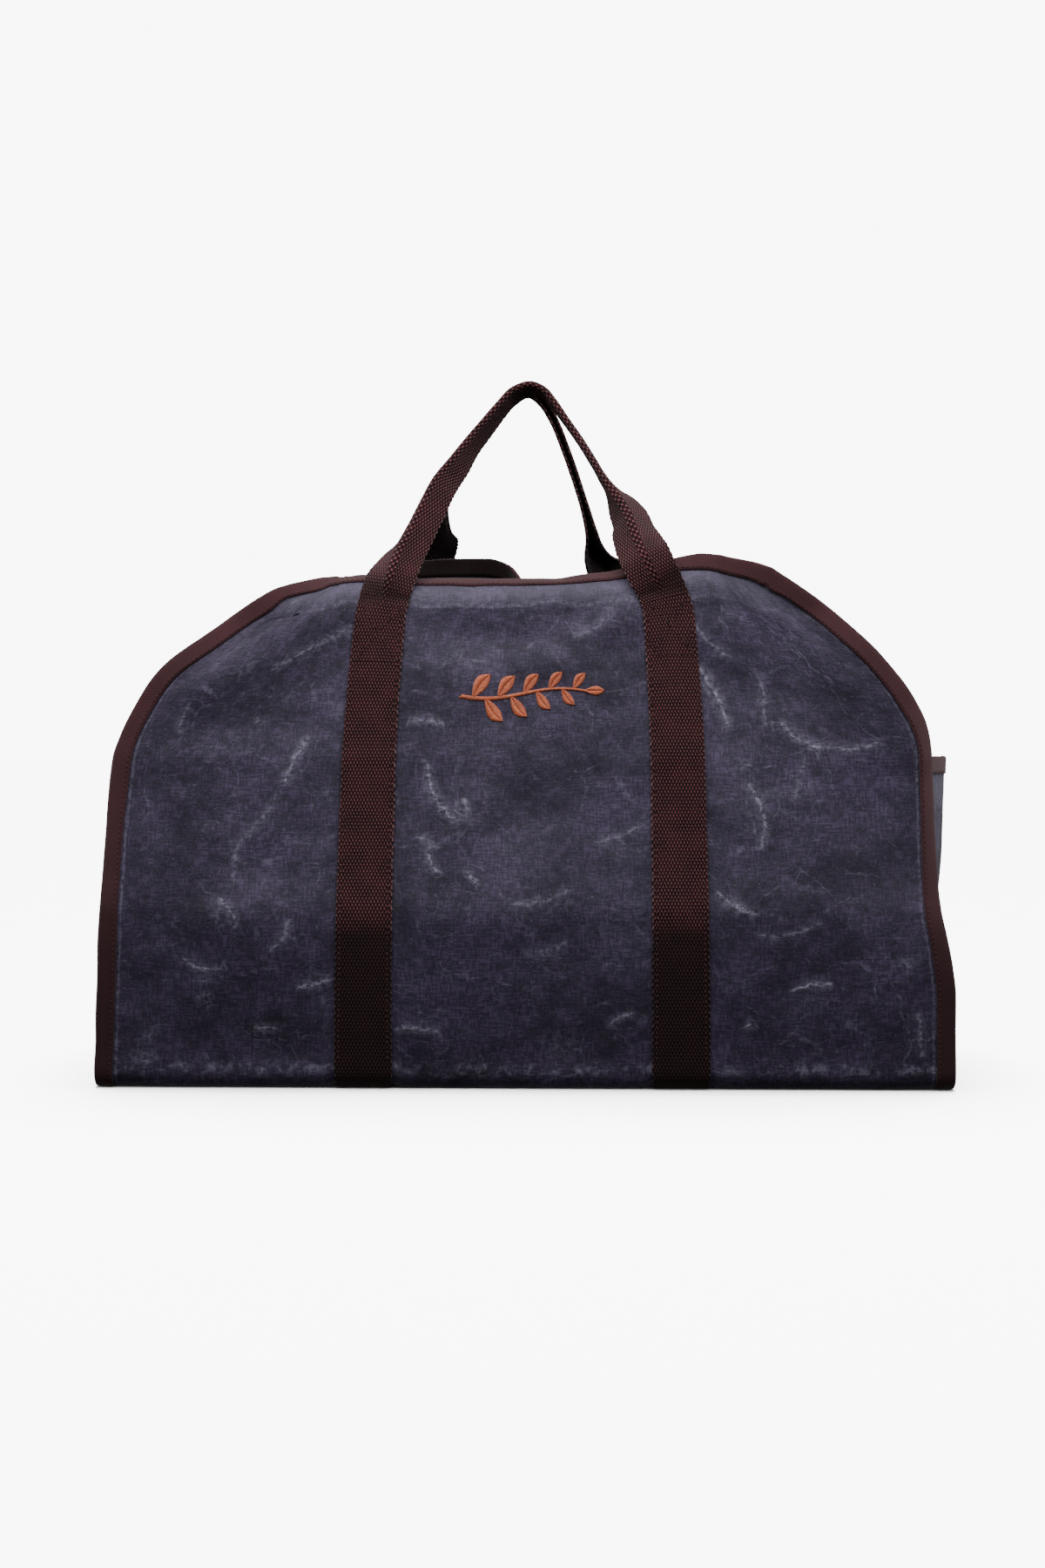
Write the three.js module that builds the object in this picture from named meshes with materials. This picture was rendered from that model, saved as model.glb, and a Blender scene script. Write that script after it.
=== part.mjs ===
// A waxed-canvas log carrier: one long cloth folded up into a front panel, a base and a back panel,
// an end panel at each end, bound edges, and two webbing straps that run under the base and rise
// over the panels as carrying handles. Millimetres, +Z up, +X along the logs, front towards -Y.
// The origin is the middle of the base, on the floor.
import * as THREE from "three";

// The main cloth
const LENGTH = 594; // along the logs, edge to edge at the floor
const DEPTH = 260; // front panel to back panel at the floor
const BODY_HEIGHT = 358; // floor to the top edge between the handles
const FOLD_RADIUS = 10; // where the cloth turns up from the base
const LEAN = 50; // how far each panel leans in by the time it reaches its flap
const FLAP = 30; // the strip along the top edge that droops inwards
const FLAP_TURN = THREE.MathUtils.degToRad(65); // the droop at its most
const CANVAS = 1.5; // wall of the main cloth

// The end panels
const END_HEIGHT = 229; // floor to an end panel's top edge, where the side edges start to slope
const END_CANVAS = 1.2; // wall of an end panel
const END_BULGE = 42; // how far the slack of an end panel stands out at its top edge
const END_ROUND = 1.25; // how gently the bulge starts from the seam
const END_BEND = 6; // from the tape's inner edge to where an end panel turns out of its seam
const SEAM_INSET = 1; // the end panel's raw edge stops short of the main cloth's edge
const BEND_SLANT = 1; // how far the bend leans on inwards while it turns
const DENT_WIDTH = 0.35; // of the dent in a bulge, as a share of half the panel's depth
const CLOSING = 0.5; // share of the height below which an end panel's columns close up
const CORNER_RISE = 0.55; // where the column of the floor's corner meets the middle, of that height

// The binding tape, folded over every edge
const TAPE = 1; // thickness of each leg
const TAPE_WIDTH = 12; // of each leg, across the cloth

// The webbing
const WEBBING = 2.2; // thickness
const WEBBING_WIDTH = 40;
const STRAP_SPACING = 220; // between the middles of the two straps of a panel
const STRAP_MARGIN = 8; // cloth beside a strap that rises to meet it under the base
const HANDLE_RISE = 147; // from the body's top edge to the top of the grip
const GRIP_CREASE = 3; // half the width of the rounded crease of the folded grip
const GRIP_OPENING = 0.6; // between the two halves of the folded grip
const CREASE_SINK = 0.8; // how far the crease's shoulders drop as the grip folds, of its width

const CLEARANCE = 0.3; // between any two layers that lie on each other

const HALF_LENGTH = LENGTH / 2;
const LAYER = CLEARANCE + CANVAS / 2; // from the middle of the main cloth to what lies on it

// A table's rows as objects, from the names of its columns.
function table(columns, rows) {
  const names = columns.split(" ");
  return rows.map((row) => Object.fromEntries(names.map((name, i) => [name, row[i]])));
}

// A smooth curve through one column of a table, read against another, level past both ends.
function read(rows, key, value, at) {
  const last = rows.length - 1;
  if (at <= rows[0][key]) return rows[0][value];
  if (at >= rows[last][key]) return rows[last][value];
  const i = rows.findIndex((row) => row[key] > at) - 1;
  const slope = (a, b) => (rows[b][value] - rows[a][value]) / (rows[b][key] - rows[a][key]);
  // The slope at a row is the mean of its two sides, and none at a peak, so nothing overshoots.
  const tangent = (k) => {
    if (k === 0 || k === last) return slope(Math.max(k - 1, 0), Math.min(k + 1, last));
    const before = slope(k - 1, k);
    const after = slope(k, k + 1);
    return before * after <= 0 ? 0 : (2 * before * after) / (before + after);
  };
  const span = rows[i + 1][key] - rows[i][key];
  const t = (at - rows[i][key]) / span;
  const rest = 1 - t;
  return (
    rows[i][value] * (1 + 2 * t) * rest * rest +
    tangent(i) * span * t * rest * rest +
    rows[i + 1][value] * (3 - 2 * t) * t * t -
    tangent(i + 1) * span * t * t * rest
  );
}

const mix = THREE.MathUtils.lerp;
const smooth = (x) => THREE.MathUtils.smoothstep(x, 0, 1);

// How a panel leans: rise is 0 at the floor, 1 at the end panel's top and 2 at the top edge.
const LEANING = table("rise share", [
  [0, 0],
  [0.5, 0.04],
  [0.66, 0.2],
  [0.85, 0.38],
  [1, 0.5],
  [1.5, 0.78],
  [1.86, 1],
]);

// Straps: where they lie, as shares of their spacing and width at the floor. Side edges of a
// panel: across as a share of half the length, turn as a share of the flap's droop. Top edge:
// height as a share of the body's height. Folds are soft ridges, or dents where the height is
// negative, from one place of the panel to another: x as a share of half the length, z of the
// body's height, and width and height as shares of the flap.
const FRONT = {
  side: -1,
  straps: table("rise spacing width", [
    [0, 1, 1],
    [0.92, 0.985, 0.95],
    [1.9, 0.92, 0.9],
    [2, 0.91, 0.9],
  ]),
  leftEdge: table("rise across turn", [
    [0, 1, 0],
    [0.32, 0.99, 0],
    [0.76, 0.981, 0.1],
    [1, 0.967, 0],
    [1.1, 0.957, 0],
    [1.34, 0.908, 0],
    [1.5, 0.858, 0],
    [1.7, 0.742, 0.1],
    [1.85, 0.653, 0.1],
    [1.94, 0.585, 0],
    [2, 0.485, 0],
  ]),
  rightEdge: table("rise across turn", [
    [0, 1, 0],
    [0.27, 1, 0],
    [0.42, 0.988, 0.15],
    [0.56, 0.969, 0.4],
    [0.76, 0.963, 0.62],
    [1, 0.961, 0.65],
    [1.14, 0.953, 0.45],
    [1.32, 0.918, 0.1],
    [1.54, 0.844, 0],
    [1.69, 0.773, 0],
    [1.85, 0.688, 0],
    [2, 0.588, 0],
  ]),
  topEdge: table("across height turn", [
    [-0.66, 0.996, 0],
    [-0.485, 0.996, 0.75],
    [-0.42, 1.001, 1],
    [-0.38, 1.004, 0.95],
    [-0.28, 0.997, 1],
    [0.04, 0.996, 1],
    [0.15, 1.003, 0.9],
    [0.24, 1.013, 0.85],
    [0.354, 1.032, 0.7],
    [0.427, 1.042, 0.35],
    [0.53, 1.026, 0.05],
    [0.588, 1.0117, 0],
  ]),
  folds: table("x0 z0 x1 z1 width height", [
    [-0.15, 0.3, 0.15, 0.3, 3, 0.17],
    [-0.65, 0.3, -0.7, 0.6, 2, 0.2],
    [0.62, 0.25, 0.66, 0.55, 1.9, 0.2],
    [0.88, 0.4, 0.88, 0.6, 0.9, -0.3],
    [-0.45, 0.93, -0.75, 0.78, 0.6, 0.14],
    [0.6, 0.95, 0.72, 0.85, 1.2, 0.25],
    [-0.6, 0.95, -0.75, 0.85, 1.4, 0.2],
    [0.45, 0.82, 0.52, 0.6, 0.6, -0.14],
    [-0.18, 0.87, 0.18, 0.87, 0.6, -0.1],
    [0.27, 0.93, 0.08, 0.84, 0.5, 0.12],
  ]),
};

const BACK = {
  side: 1,
  straps: table("rise spacing width", [
    [0, 1, 1],
    [0.92, 0.95, 0.95],
    [1.9, 0.84, 0.9],
    [2, 0.83, 0.9],
  ]),
  leftEdge: table("rise across turn", [
    [0, 1, 0],
    [0.4, 0.99, 0.1],
    [1, 0.965, 0.3],
    [1.1, 0.955, 0.2],
    [1.34, 0.9, 0],
    [1.5, 0.848, 0],
    [1.7, 0.745, 0],
    [1.85, 0.655, 0],
    [2, 0.53, 0],
  ]),
  rightEdge: table("rise across turn", [
    [0, 1, 0],
    [0.4, 0.99, 0],
    [1, 0.966, 0.1],
    [1.1, 0.957, 0],
    [1.34, 0.905, 0],
    [1.5, 0.85, 0],
    [1.7, 0.74, 0.1],
    [1.85, 0.65, 0.1],
    [2, 0.53, 0],
  ]),
  topEdge: table("across height turn", [
    [-0.68, 1.004, 0],
    [-0.53, 1.004, 0.4],
    [-0.43, 1.03, 0.3],
    [-0.36, 1.053, 0.15],
    [-0.28, 1.066, 0],
    [-0.11, 1.068, 0],
    [-0.055, 1.055, 0.2],
    [-0.025, 1.025, 0.6],
    [0.02, 0.993, 1],
    [0.25, 1.0, 0.95],
    [0.4, 1.012, 0.65],
    [0.53, 1.002, 0.3],
    [0.68, 1.002, 0],
  ]),
  folds: table("x0 z0 x1 z1 width height", [
    [-0.2, 0.35, 0.2, 0.3, 3, 0.17],
    [-0.66, 0.3, -0.66, 0.6, 2, 0.24],
    [0.64, 0.28, 0.7, 0.55, 2, 0.2],
    [-0.86, 0.36, -0.88, 0.6, 0.9, -0.2],
    [0.5, 0.92, 0.72, 0.8, 0.7, 0.14],
    [-0.45, 0.85, -0.55, 0.55, 0.7, -0.12],
    [0.1, 0.9, 0.3, 0.8, 0.6, -0.1],
    [-0.05, 0.95, -0.02, 0.8, 0.6, 0.12],
  ]),
};

// The end panels: height and bulge as shares, and a dent in the middle of the bulge.
const END_SLACK = table("height bulge", [
  [0, 0],
  [0.25, 0.38],
  [0.63, 0.84],
  [1, 1],
]);
const ENDS = [
  { name: "end_panel_left", side: -1, bulge: 0.74, dent: 0.3, dentAt: 0.1 },
  { name: "end_panel_right", side: 1, bulge: 1, dent: 0, dentAt: 0 },
];

// The handles from left to right, along the webbing's middle: x as a share of half the strap
// spacing, rise of the handle's rise above the body's top edge, in as how far from the panel (0)
// to the grip (1), width of the webbing's width, fold in degrees from flat (0) to shut (90), and
// roll in degrees about the webbing's own line.
const FRONT_HANDLE = table("x rise in width fold roll", [
  [-0.895, -0.061, 0, 0.9, 4, -2],
  [-0.868, 0.007, 0.05, 0.92, 16, -10],
  [-0.827, 0.116, 0.16, 0.95, 36, -22],
  [-0.759, 0.238, 0.28, 0.98, 56, -38],
  [-0.688, 0.361, 0.4, 1, 72, -52],
  [-0.603, 0.497, 0.53, 1, 84, -62],
  [-0.491, 0.605, 0.64, 1, 88, -48],
  [-0.382, 0.711, 0.75, 1, 88, -30],
  [-0.286, 0.8, 0.84, 1, 88, -24],
  [-0.177, 0.898, 0.92, 1, 88, -18],
  [-0.091, 0.965, 0.97, 1, 88, -14],
  [0.018, 0.995, 1, 1, 88, -10],
  [0.11, 0.97, 0.98, 1, 88, -4],
  [0.184, 0.903, 0.94, 1, 88, 0],
  [0.252, 0.823, 0.88, 1, 88, 3],
  [0.345, 0.714, 0.78, 1, 88, 4],
  [0.43, 0.609, 0.67, 1, 88, 3],
  [0.496, 0.527, 0.57, 1, 87, 0],
  [0.545, 0.469, 0.49, 1, 80, 0],
  [0.623, 0.378, 0.38, 0.97, 58, 0],
  [0.679, 0.3, 0.26, 0.95, 46, 0],
  [0.705, 0.235, 0.17, 0.93, 36, 0],
  [0.745, 0.153, 0.06, 0.91, 20, 0],
  [0.788, 0.082, -0.03, 0.9, 6, 0],
  [0.855, -0.027, -0.06, 0.89, 0, 0],
]);
const BACK_HANDLE = table("x rise in width fold roll", [
  [-0.79, -0.05, -0.06, 0.9, 0, 0],
  [-0.765, 0.03, -0.1, 0.9, 0, 0],
  [-0.735, 0.12, -0.12, 0.92, 0, 0],
  [-0.7, 0.22, -0.08, 0.95, 0, 0],
  [-0.665, 0.32, 0.08, 0.97, 14, 0],
  [-0.615, 0.42, 0.34, 1, 54, 4],
  [-0.545, 0.52, 0.5, 1, 78, 6],
  [-0.45, 0.62, 0.64, 1, 86, 6],
  [-0.3, 0.77, 0.8, 1, 87, 6],
  [-0.14, 0.91, 0.96, 1, 87, 4],
  [0.005, 0.98, 1, 1, 87, 0],
  [0.09, 0.94, 0.98, 1, 87, 0],
  [0.172, 0.85, 0.91, 1, 87, 0],
  [0.262, 0.694, 0.78, 1, 87, 0],
  [0.338, 0.537, 0.63, 1, 87, 0],
  [0.397, 0.401, 0.48, 1, 85, 0],
  [0.432, 0.306, 0.37, 1, 80, 0],
  [0.462, 0.21, 0.24, 0.98, 62, 0],
  [0.53, 0.12, 0.04, 0.95, 34, 0],
  [0.62, 0.06, -0.08, 0.93, 14, 0],
  [0.71, 0.01, -0.1, 0.91, 4, 0],
  [0.78, -0.05, -0.06, 0.9, 0, 0],
]);
const HANDLE_STATIONS = 42; // along the free part of a handle
const FOLDS_FADE = 0.2; // share of the end panels' height over which the folds grow from the base

// Rows of the main cloth's grid, as shares of each zone of a panel, and steps elsewhere.
const LOWER_ROWS = [0, 0.13, 0.28, 0.44, 0.6, 0.77, 1 - TAPE_WIDTH / END_HEIGHT, 1];
const UPPER_ROWS = [0.22, 0.43, 0.62, 0.81, 1];
const CREASE_ROW = LOWER_ROWS.length + UPPER_ROWS.length - 1;
const EDGE_ROUNDS = 12; // to find where the tape's inner line meets a height
const EDGE_STEP = 1; // height over which the slope of a side edge is taken
const FOLD_STEPS = 4;
const BASE_STEPS = 4;
const WING_STEPS = 4;
const MIDDLE_STEPS = 8;
const END_STEPS = 5;
const FREE_COLUMN = 3; // first column of an end panel that lies clear of its seam

// The flap from its crease to the top edge: length of each step and its share of the droop.
const FLAP_STEPS = [
  { length: (FLAP - TAPE_WIDTH) * 0.53, share: 0.35 },
  { length: (FLAP - TAPE_WIDTH) * 0.47, share: 0.8 },
  { length: TAPE_WIDTH, share: 1 },
];

// How far below the top edge a flap step starts, and how far in from the crease it does.
function flapDrop(from, droop) {
  return FLAP_STEPS.slice(from).reduce((sum, s) => sum + s.length * Math.cos(s.share * droop), 0);
}
function flapInset(upTo, droop) {
  return FLAP_STEPS.slice(0, upTo).reduce((sum, s) => sum + s.length * Math.sin(s.share * droop), 0);
}

// A panel's top edge over a place, and how the flap droops there.
const topOf = (panel, x) => read(panel.topEdge, "across", "height", x / HALF_LENGTH) * BODY_HEIGHT;
const droopOf = (panel, x) => read(panel.topEdge, "across", "turn", x / HALF_LENGTH) * FLAP_TURN;

// The soft ridges and dents of a panel at a place of it.
function relief(panel, x, z) {
  return panel.folds.reduce((sum, f) => {
    const ax = f.x0 * HALF_LENGTH;
    const az = f.z0 * BODY_HEIGHT;
    const bx = f.x1 * HALF_LENGTH - ax;
    const bz = f.z1 * BODY_HEIGHT - az;
    const t = THREE.MathUtils.clamp(((x - ax) * bx + (z - az) * bz) / (bx * bx + bz * bz), 0, 1);
    const away = Math.hypot(x - ax - t * bx, z - az - t * bz) / (f.width * FLAP);
    return sum + f.height * FLAP * Math.exp(-away * away);
  }, 0);
}

// Rise of a height: 0 at the floor, 1 at the end panel's top, 2 at the panel's top.
function riseOf(z, top) {
  return z <= END_HEIGHT ? z / END_HEIGHT : 1 + (z - END_HEIGHT) / (top - END_HEIGHT);
}

// How far the middle of a panel's cloth stands from the middle plane of the carrier.
function standing(panel, x, z) {
  const droop = droopOf(panel, x);
  const drop = topOf(panel, x) - z;
  const below = FLAP_STEPS.findIndex((_, i) => drop >= flapDrop(i, droop));
  const from = below < 0 ? FLAP_STEPS.length : below;
  const stepDroop = from > 0 ? FLAP_STEPS[from - 1].share * droop : 0;
  const inset = from > 0 ? flapInset(from, droop) - (drop - flapDrop(from, droop)) * Math.tan(stepDroop) : 0;
  const height = Math.min(z, topOf(panel, x) - flapDrop(0, droop));
  const fade = smooth(height / END_HEIGHT / FOLDS_FADE);
  const lean = LEAN * read(LEANING, "rise", "share", riseOf(height, BODY_HEIGHT));
  return DEPTH / 2 - lean + fade * relief(panel, x, height) - inset;
}

// What lifts the base cloth off the floor: the straps and the tape beneath it.
const STRAP_LIFT = WEBBING + CLEARANCE;
const TAPE_LIFT = TAPE + CLEARANCE;

// The columns of the grid from left to right: where each lies, and how far it is lifted.
const COLUMNS = [];
for (const side of [-1, 1]) {
  const group = [
    { kind: "edge", lift: TAPE_LIFT },
    { kind: "ring", lift: TAPE_LIFT },
  ];
  for (let i = 1; i < WING_STEPS; i++) group.push({ kind: "wing", share: i / WING_STEPS, lift: 0 });
  group.push({ kind: "strap", out: 1, margin: 1, lift: 0 });
  for (const out of [1, 0, -1]) group.push({ kind: "strap", out, margin: 0, lift: STRAP_LIFT });
  group.push({ kind: "strap", out: -1, margin: -1, lift: 0 });
  group.forEach((column) => (column.side = side));
  if (side < 0) {
    COLUMNS.push(...group);
    for (let i = 1; i < MIDDLE_STEPS; i++) {
      COLUMNS.push({ kind: "middle", share: (2 * i) / MIDDLE_STEPS - 1, lift: 0 });
    }
  } else COLUMNS.push(...group.reverse());
}
const isStrap = (side, out) => (c) =>
  c.kind === "strap" && c.margin === 0 && c.side === side && c.out === out;
const LAST_COLUMN = COLUMNS.length - 1;

// X of a strap column, or of a middle column, at a rise of a panel.
function strapX(panel, column, rise) {
  const spacing = (STRAP_SPACING / 2) * read(panel.straps, "rise", "spacing", rise);
  const half = (WEBBING_WIDTH / 2) * read(panel.straps, "rise", "width", rise);
  const inner = spacing - half - STRAP_MARGIN;
  if (column.kind === "middle") return column.share * inner;
  return column.side * (spacing + column.out * half + column.margin * STRAP_MARGIN);
}

// One side edge of a panel: a point of it, the point one tape width inside that lies at a height,
// and how far the cloth turns in between the two.
function sideEdge(panel, side, z, corner) {
  const rows = side < 0 ? panel.leftEdge : panel.rightEdge;
  const across = (height) => read(rows, "rise", "across", riseOf(height, corner.z)) * HALF_LENGTH;
  const turn = read(rows, "rise", "turn", riseOf(z, corner.z)) * FLAP_TURN;
  let height = z;
  let tape = 0;
  for (let round = 0; round < EDGE_ROUNDS; round++) {
    const slope = (across(height) - across(height - EDGE_STEP)) / EDGE_STEP;
    const droop = z > corner.z - flapDrop(0, corner.droop) ? corner.droop : 0;
    const foreshortened = slope * Math.cos(droop);
    tape = (TAPE_WIDTH * Math.cos(turn)) / Math.hypot(1, foreshortened);
    height = Math.min(z - tape * foreshortened * Math.cos(droop), corner.z);
  }
  return {
    edge: [side * across(height), height],
    ring: [side * (across(height) - tape), z],
    turnIn: TAPE_WIDTH * Math.sin(turn),
  };
}

// A panel's rows of points from the fold above the base to its top edge.
function panelRows(panel) {
  const start = FOLD_RADIUS + CANVAS / 2;
  const corners = [-1, 1].map((side) => {
    const rows = side < 0 ? panel.leftEdge : panel.rightEdge;
    const x = side * rows[rows.length - 1].across * HALF_LENGTH;
    return { x, z: topOf(panel, x), droop: droopOf(panel, x) };
  });
  const topRow = CREASE_ROW + FLAP_STEPS.length;

  // The height of a row where the top edge is at height topZ and droops by the angle given.
  const heightOf = (row, lift, topZ, droop) => {
    if (row < LOWER_ROWS.length) return mix(start + lift, END_HEIGHT, LOWER_ROWS[row]);
    if (row <= CREASE_ROW) {
      return mix(END_HEIGHT, topZ - flapDrop(0, droop), UPPER_ROWS[row - LOWER_ROWS.length]);
    }
    return topZ - flapDrop(row - CREASE_ROW, droop);
  };
  const heightAt = (row, lift, x) => heightOf(row, lift, topOf(panel, x), droopOf(panel, x));

  const rows = [];
  for (let row = 0; row <= topRow; row++) {
    const sides = corners.map((corner, i) => {
      if (row < topRow) {
        const z = heightOf(row, TAPE_LIFT, corner.z, corner.droop);
        return sideEdge(panel, i ? 1 : -1, z, corner);
      }
      const below = rows[row - 1][i ? LAST_COLUMN - 1 : 1].x;
      return { edge: [corner.x, corner.z], ring: [below, topOf(panel, below)], turnIn: 0 };
    });
    rows.push(
      COLUMNS.map((column, i) => {
        const side = sides[column.side > 0 ? 1 : 0];
        let [x, z] = column.kind === "edge" ? side.edge : side.ring;
        if (column.kind !== "edge" && column.kind !== "ring") {
          const line = column.kind === "wing" ? { ...column, kind: "strap", out: 1, margin: 1 } : column;
          const height = heightAt(row, column.lift, strapX(panel, line, 2));
          x = strapX(panel, line, riseOf(height, topOf(panel, strapX(panel, line, 2))));
          z = heightAt(row, column.lift, x);
          if (column.kind === "wing") {
            x = row === topRow ? rows[row - 1][i].x : mix(side.ring[0], x, column.share);
            z = row >= CREASE_ROW ? heightAt(row, column.lift, x) : mix(side.ring[1], z, column.share);
          }
        }
        const turnIn = column.kind === "edge" ? side.turnIn : 0;
        return new THREE.Vector3(x, panel.side * (standing(panel, x, z) - turnIn), z);
      }),
    );
  }
  return rows;
}

// The whole cloth: front panel from its top edge down, the base, and the back panel up.
function clothRows() {
  const front = panelRows(FRONT);
  const back = panelRows(BACK);
  const straight = DEPTH / 2 - FOLD_RADIUS;
  const floorRow = (y) =>
    front[0].map((p, i) => new THREE.Vector3(p.x, y, CANVAS / 2 + COLUMNS[i].lift));
  const foldRow = (side, share) => {
    const angle = (share * Math.PI) / 2;
    return front[0].map((p, i) => {
      const z = CANVAS / 2 + COLUMNS[i].lift + FOLD_RADIUS * (1 - Math.cos(angle));
      return new THREE.Vector3(p.x, side * (straight + FOLD_RADIUS * Math.sin(angle)), z);
    });
  };
  const rows = [...front].reverse();
  for (let i = FOLD_STEPS - 1; i > 0; i--) rows.push(foldRow(-1, i / FOLD_STEPS));
  for (let i = 0; i <= BASE_STEPS; i++) rows.push(floorRow(mix(-straight, straight, i / BASE_STEPS)));
  for (let i = 1; i < FOLD_STEPS; i++) rows.push(foldRow(1, i / FOLD_STEPS));
  rows.push(...back);
  return { rows, panelCount: front.length };
}

const CLOTH = clothRows();
const GRID = CLOTH.rows;
const PANEL_ROWS = CLOTH.panelCount;
const LAST_ROW = GRID.length - 1;
const END_TOP_ROW = PANEL_ROWS - LOWER_ROWS.length; // of the front panel, counted from its top edge

// Outward directions of the cloth, from the mean direction of the grid lines on both sides.
const OUT = GRID.map((row, r) =>
  row.map((point, c) => {
    const lineOf = (before, after) => {
      const sum = new THREE.Vector3();
      if (before) sum.add(point.clone().sub(before).normalize());
      if (after) sum.add(after.clone().sub(point).normalize());
      return sum;
    };
    const down = lineOf(GRID[r - 1]?.[c], GRID[r + 1]?.[c]);
    const across = lineOf(row[c - 1], row[c + 1]);
    return down.cross(across).normalize();
  }),
);
// A corner's own lines are too short to trust, so it looks the way of the tape's inner corner.
for (const [r, inRow] of [
  [0, 1],
  [LAST_ROW, LAST_ROW - 1],
]) {
  OUT[r][0] = OUT[inRow][1];
  OUT[r][LAST_COLUMN] = OUT[inRow][LAST_COLUMN - 1];
}

// A point of the cloth's grid, moved out from the middle of the cloth.
const offset = (r, c, by) => GRID[r][c].clone().addScaledVector(OUT[r][c], by);

// A closed body from its triangles, with doubled corners and flat slivers left out.
function closedBody(triangles) {
  const keyOf = (p) => `${p.x.toFixed(4)},${p.y.toFixed(4)},${p.z.toFixed(4)}`;
  const kept = triangles.filter(([a, b, c]) => new Set([keyOf(a), keyOf(b), keyOf(c)]).size === 3);
  const volume = kept.reduce((sum, [a, b, c]) => sum + a.dot(b.clone().cross(c)), 0);
  const positions = kept.flatMap(([a, b, c]) => (volume < 0 ? [a, c, b] : [a, b, c]));
  const geometry = new THREE.BufferGeometry().setFromPoints(positions);
  geometry.computeVertexNormals();
  return geometry;
}

// Two triangles, split from a to c, or from b to d.
const quad = (a, b, c, d, other = false) =>
  other
    ? [
        [a, b, d],
        [b, c, d],
      ]
    : [
        [a, b, c],
        [a, c, d],
      ];

// Every layer splits a cell of the grid alike, from its corner farthest from the cloth's middle,
// so that layers never cross where the cloth is twisted. True: from (r, c) to (r + 1, c + 1).
const isSplitDown = (r, c) => r < LAST_ROW / 2 === c < LAST_COLUMN / 2;

// A wall: an outer and an inner grid of points, joined along their rims.
function wall(outer, inner) {
  const triangles = [];
  const rows = outer.length - 1;
  const columns = outer[0].length - 1;
  for (let r = 0; r < rows; r++) {
    for (let c = 0; c < columns; c++) {
      const other = !isSplitDown(r, c);
      triangles.push(...quad(outer[r][c], outer[r + 1][c], outer[r + 1][c + 1], outer[r][c + 1], other));
      triangles.push(...quad(inner[r][c], inner[r][c + 1], inner[r + 1][c + 1], inner[r + 1][c], other));
    }
    triangles.push(...quad(outer[r][0], inner[r][0], inner[r + 1][0], outer[r + 1][0]));
    const e = columns;
    triangles.push(...quad(outer[r][e], outer[r + 1][e], inner[r + 1][e], inner[r][e]));
  }
  for (let c = 0; c < columns; c++) {
    triangles.push(...quad(outer[0][c], outer[0][c + 1], inner[0][c + 1], inner[0][c]));
    const e = rows;
    triangles.push(...quad(outer[e][c], inner[e][c], inner[e][c + 1], outer[e][c + 1]));
  }
  return closedBody(triangles);
}

// A body through a row of like sections. An open one is capped across each pair of points that
// face each other through the thickness. splitOther says which cells are split the other way.
function loft(sections, closed, splitOther = () => false) {
  const triangles = [];
  const count = sections[0].length;
  const spans = closed ? sections.length : sections.length - 1;
  for (let s = 0; s < spans; s++) {
    const here = sections[s];
    const next = sections[(s + 1) % sections.length];
    for (let i = 0; i < count; i++) {
      const j = (i + 1) % count;
      triangles.push(...quad(here[i], here[j], next[j], next[i], splitOther(s, i)));
    }
  }
  if (!closed) {
    const cap = (section, flip) => {
      for (let i = 0; i < count / 2 - 1; i++) {
        const face = [section[i], section[count - 1 - i], section[count - 2 - i], section[i + 1]];
        triangles.push(...quad(...(flip ? face.reverse() : face)));
      }
    };
    cap(sections[0], false);
    cap(sections[sections.length - 1], true);
  }
  return closedBody(triangles);
}

// The tape's section, folded round an edge: outer leg, the turn past the edge, inner leg.
const TAPE_LEGS = [0, 4]; // sides of the section that run from its inner line to the edge
function tapeSection(edge, ring, edgeOut, ringOut, outerGap, innerGap) {
  const past = edge.clone().sub(ring).normalize();
  const at = (point, out, by, beyond) => point.clone().addScaledVector(out, by).addScaledVector(past, beyond);
  const turn = CLEARANCE + TAPE;
  return [
    at(ring, ringOut, outerGap, 0),
    at(edge, edgeOut, outerGap, CLEARANCE),
    at(edge, edgeOut, -innerGap, CLEARANCE),
    at(ring, ringOut, -innerGap, 0),
    at(ring, ringOut, -innerGap - TAPE, 0),
    at(edge, edgeOut, -innerGap - TAPE, turn),
    at(edge, edgeOut, outerGap + TAPE, turn),
    at(ring, ringOut, outerGap + TAPE, 0),
  ];
}

function mainCloth() {
  const layer = (by) => GRID.map((row, r) => row.map((_, c) => offset(r, c, by)));
  return wall(layer(CANVAS / 2), layer(-CANVAS / 2));
}

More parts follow.
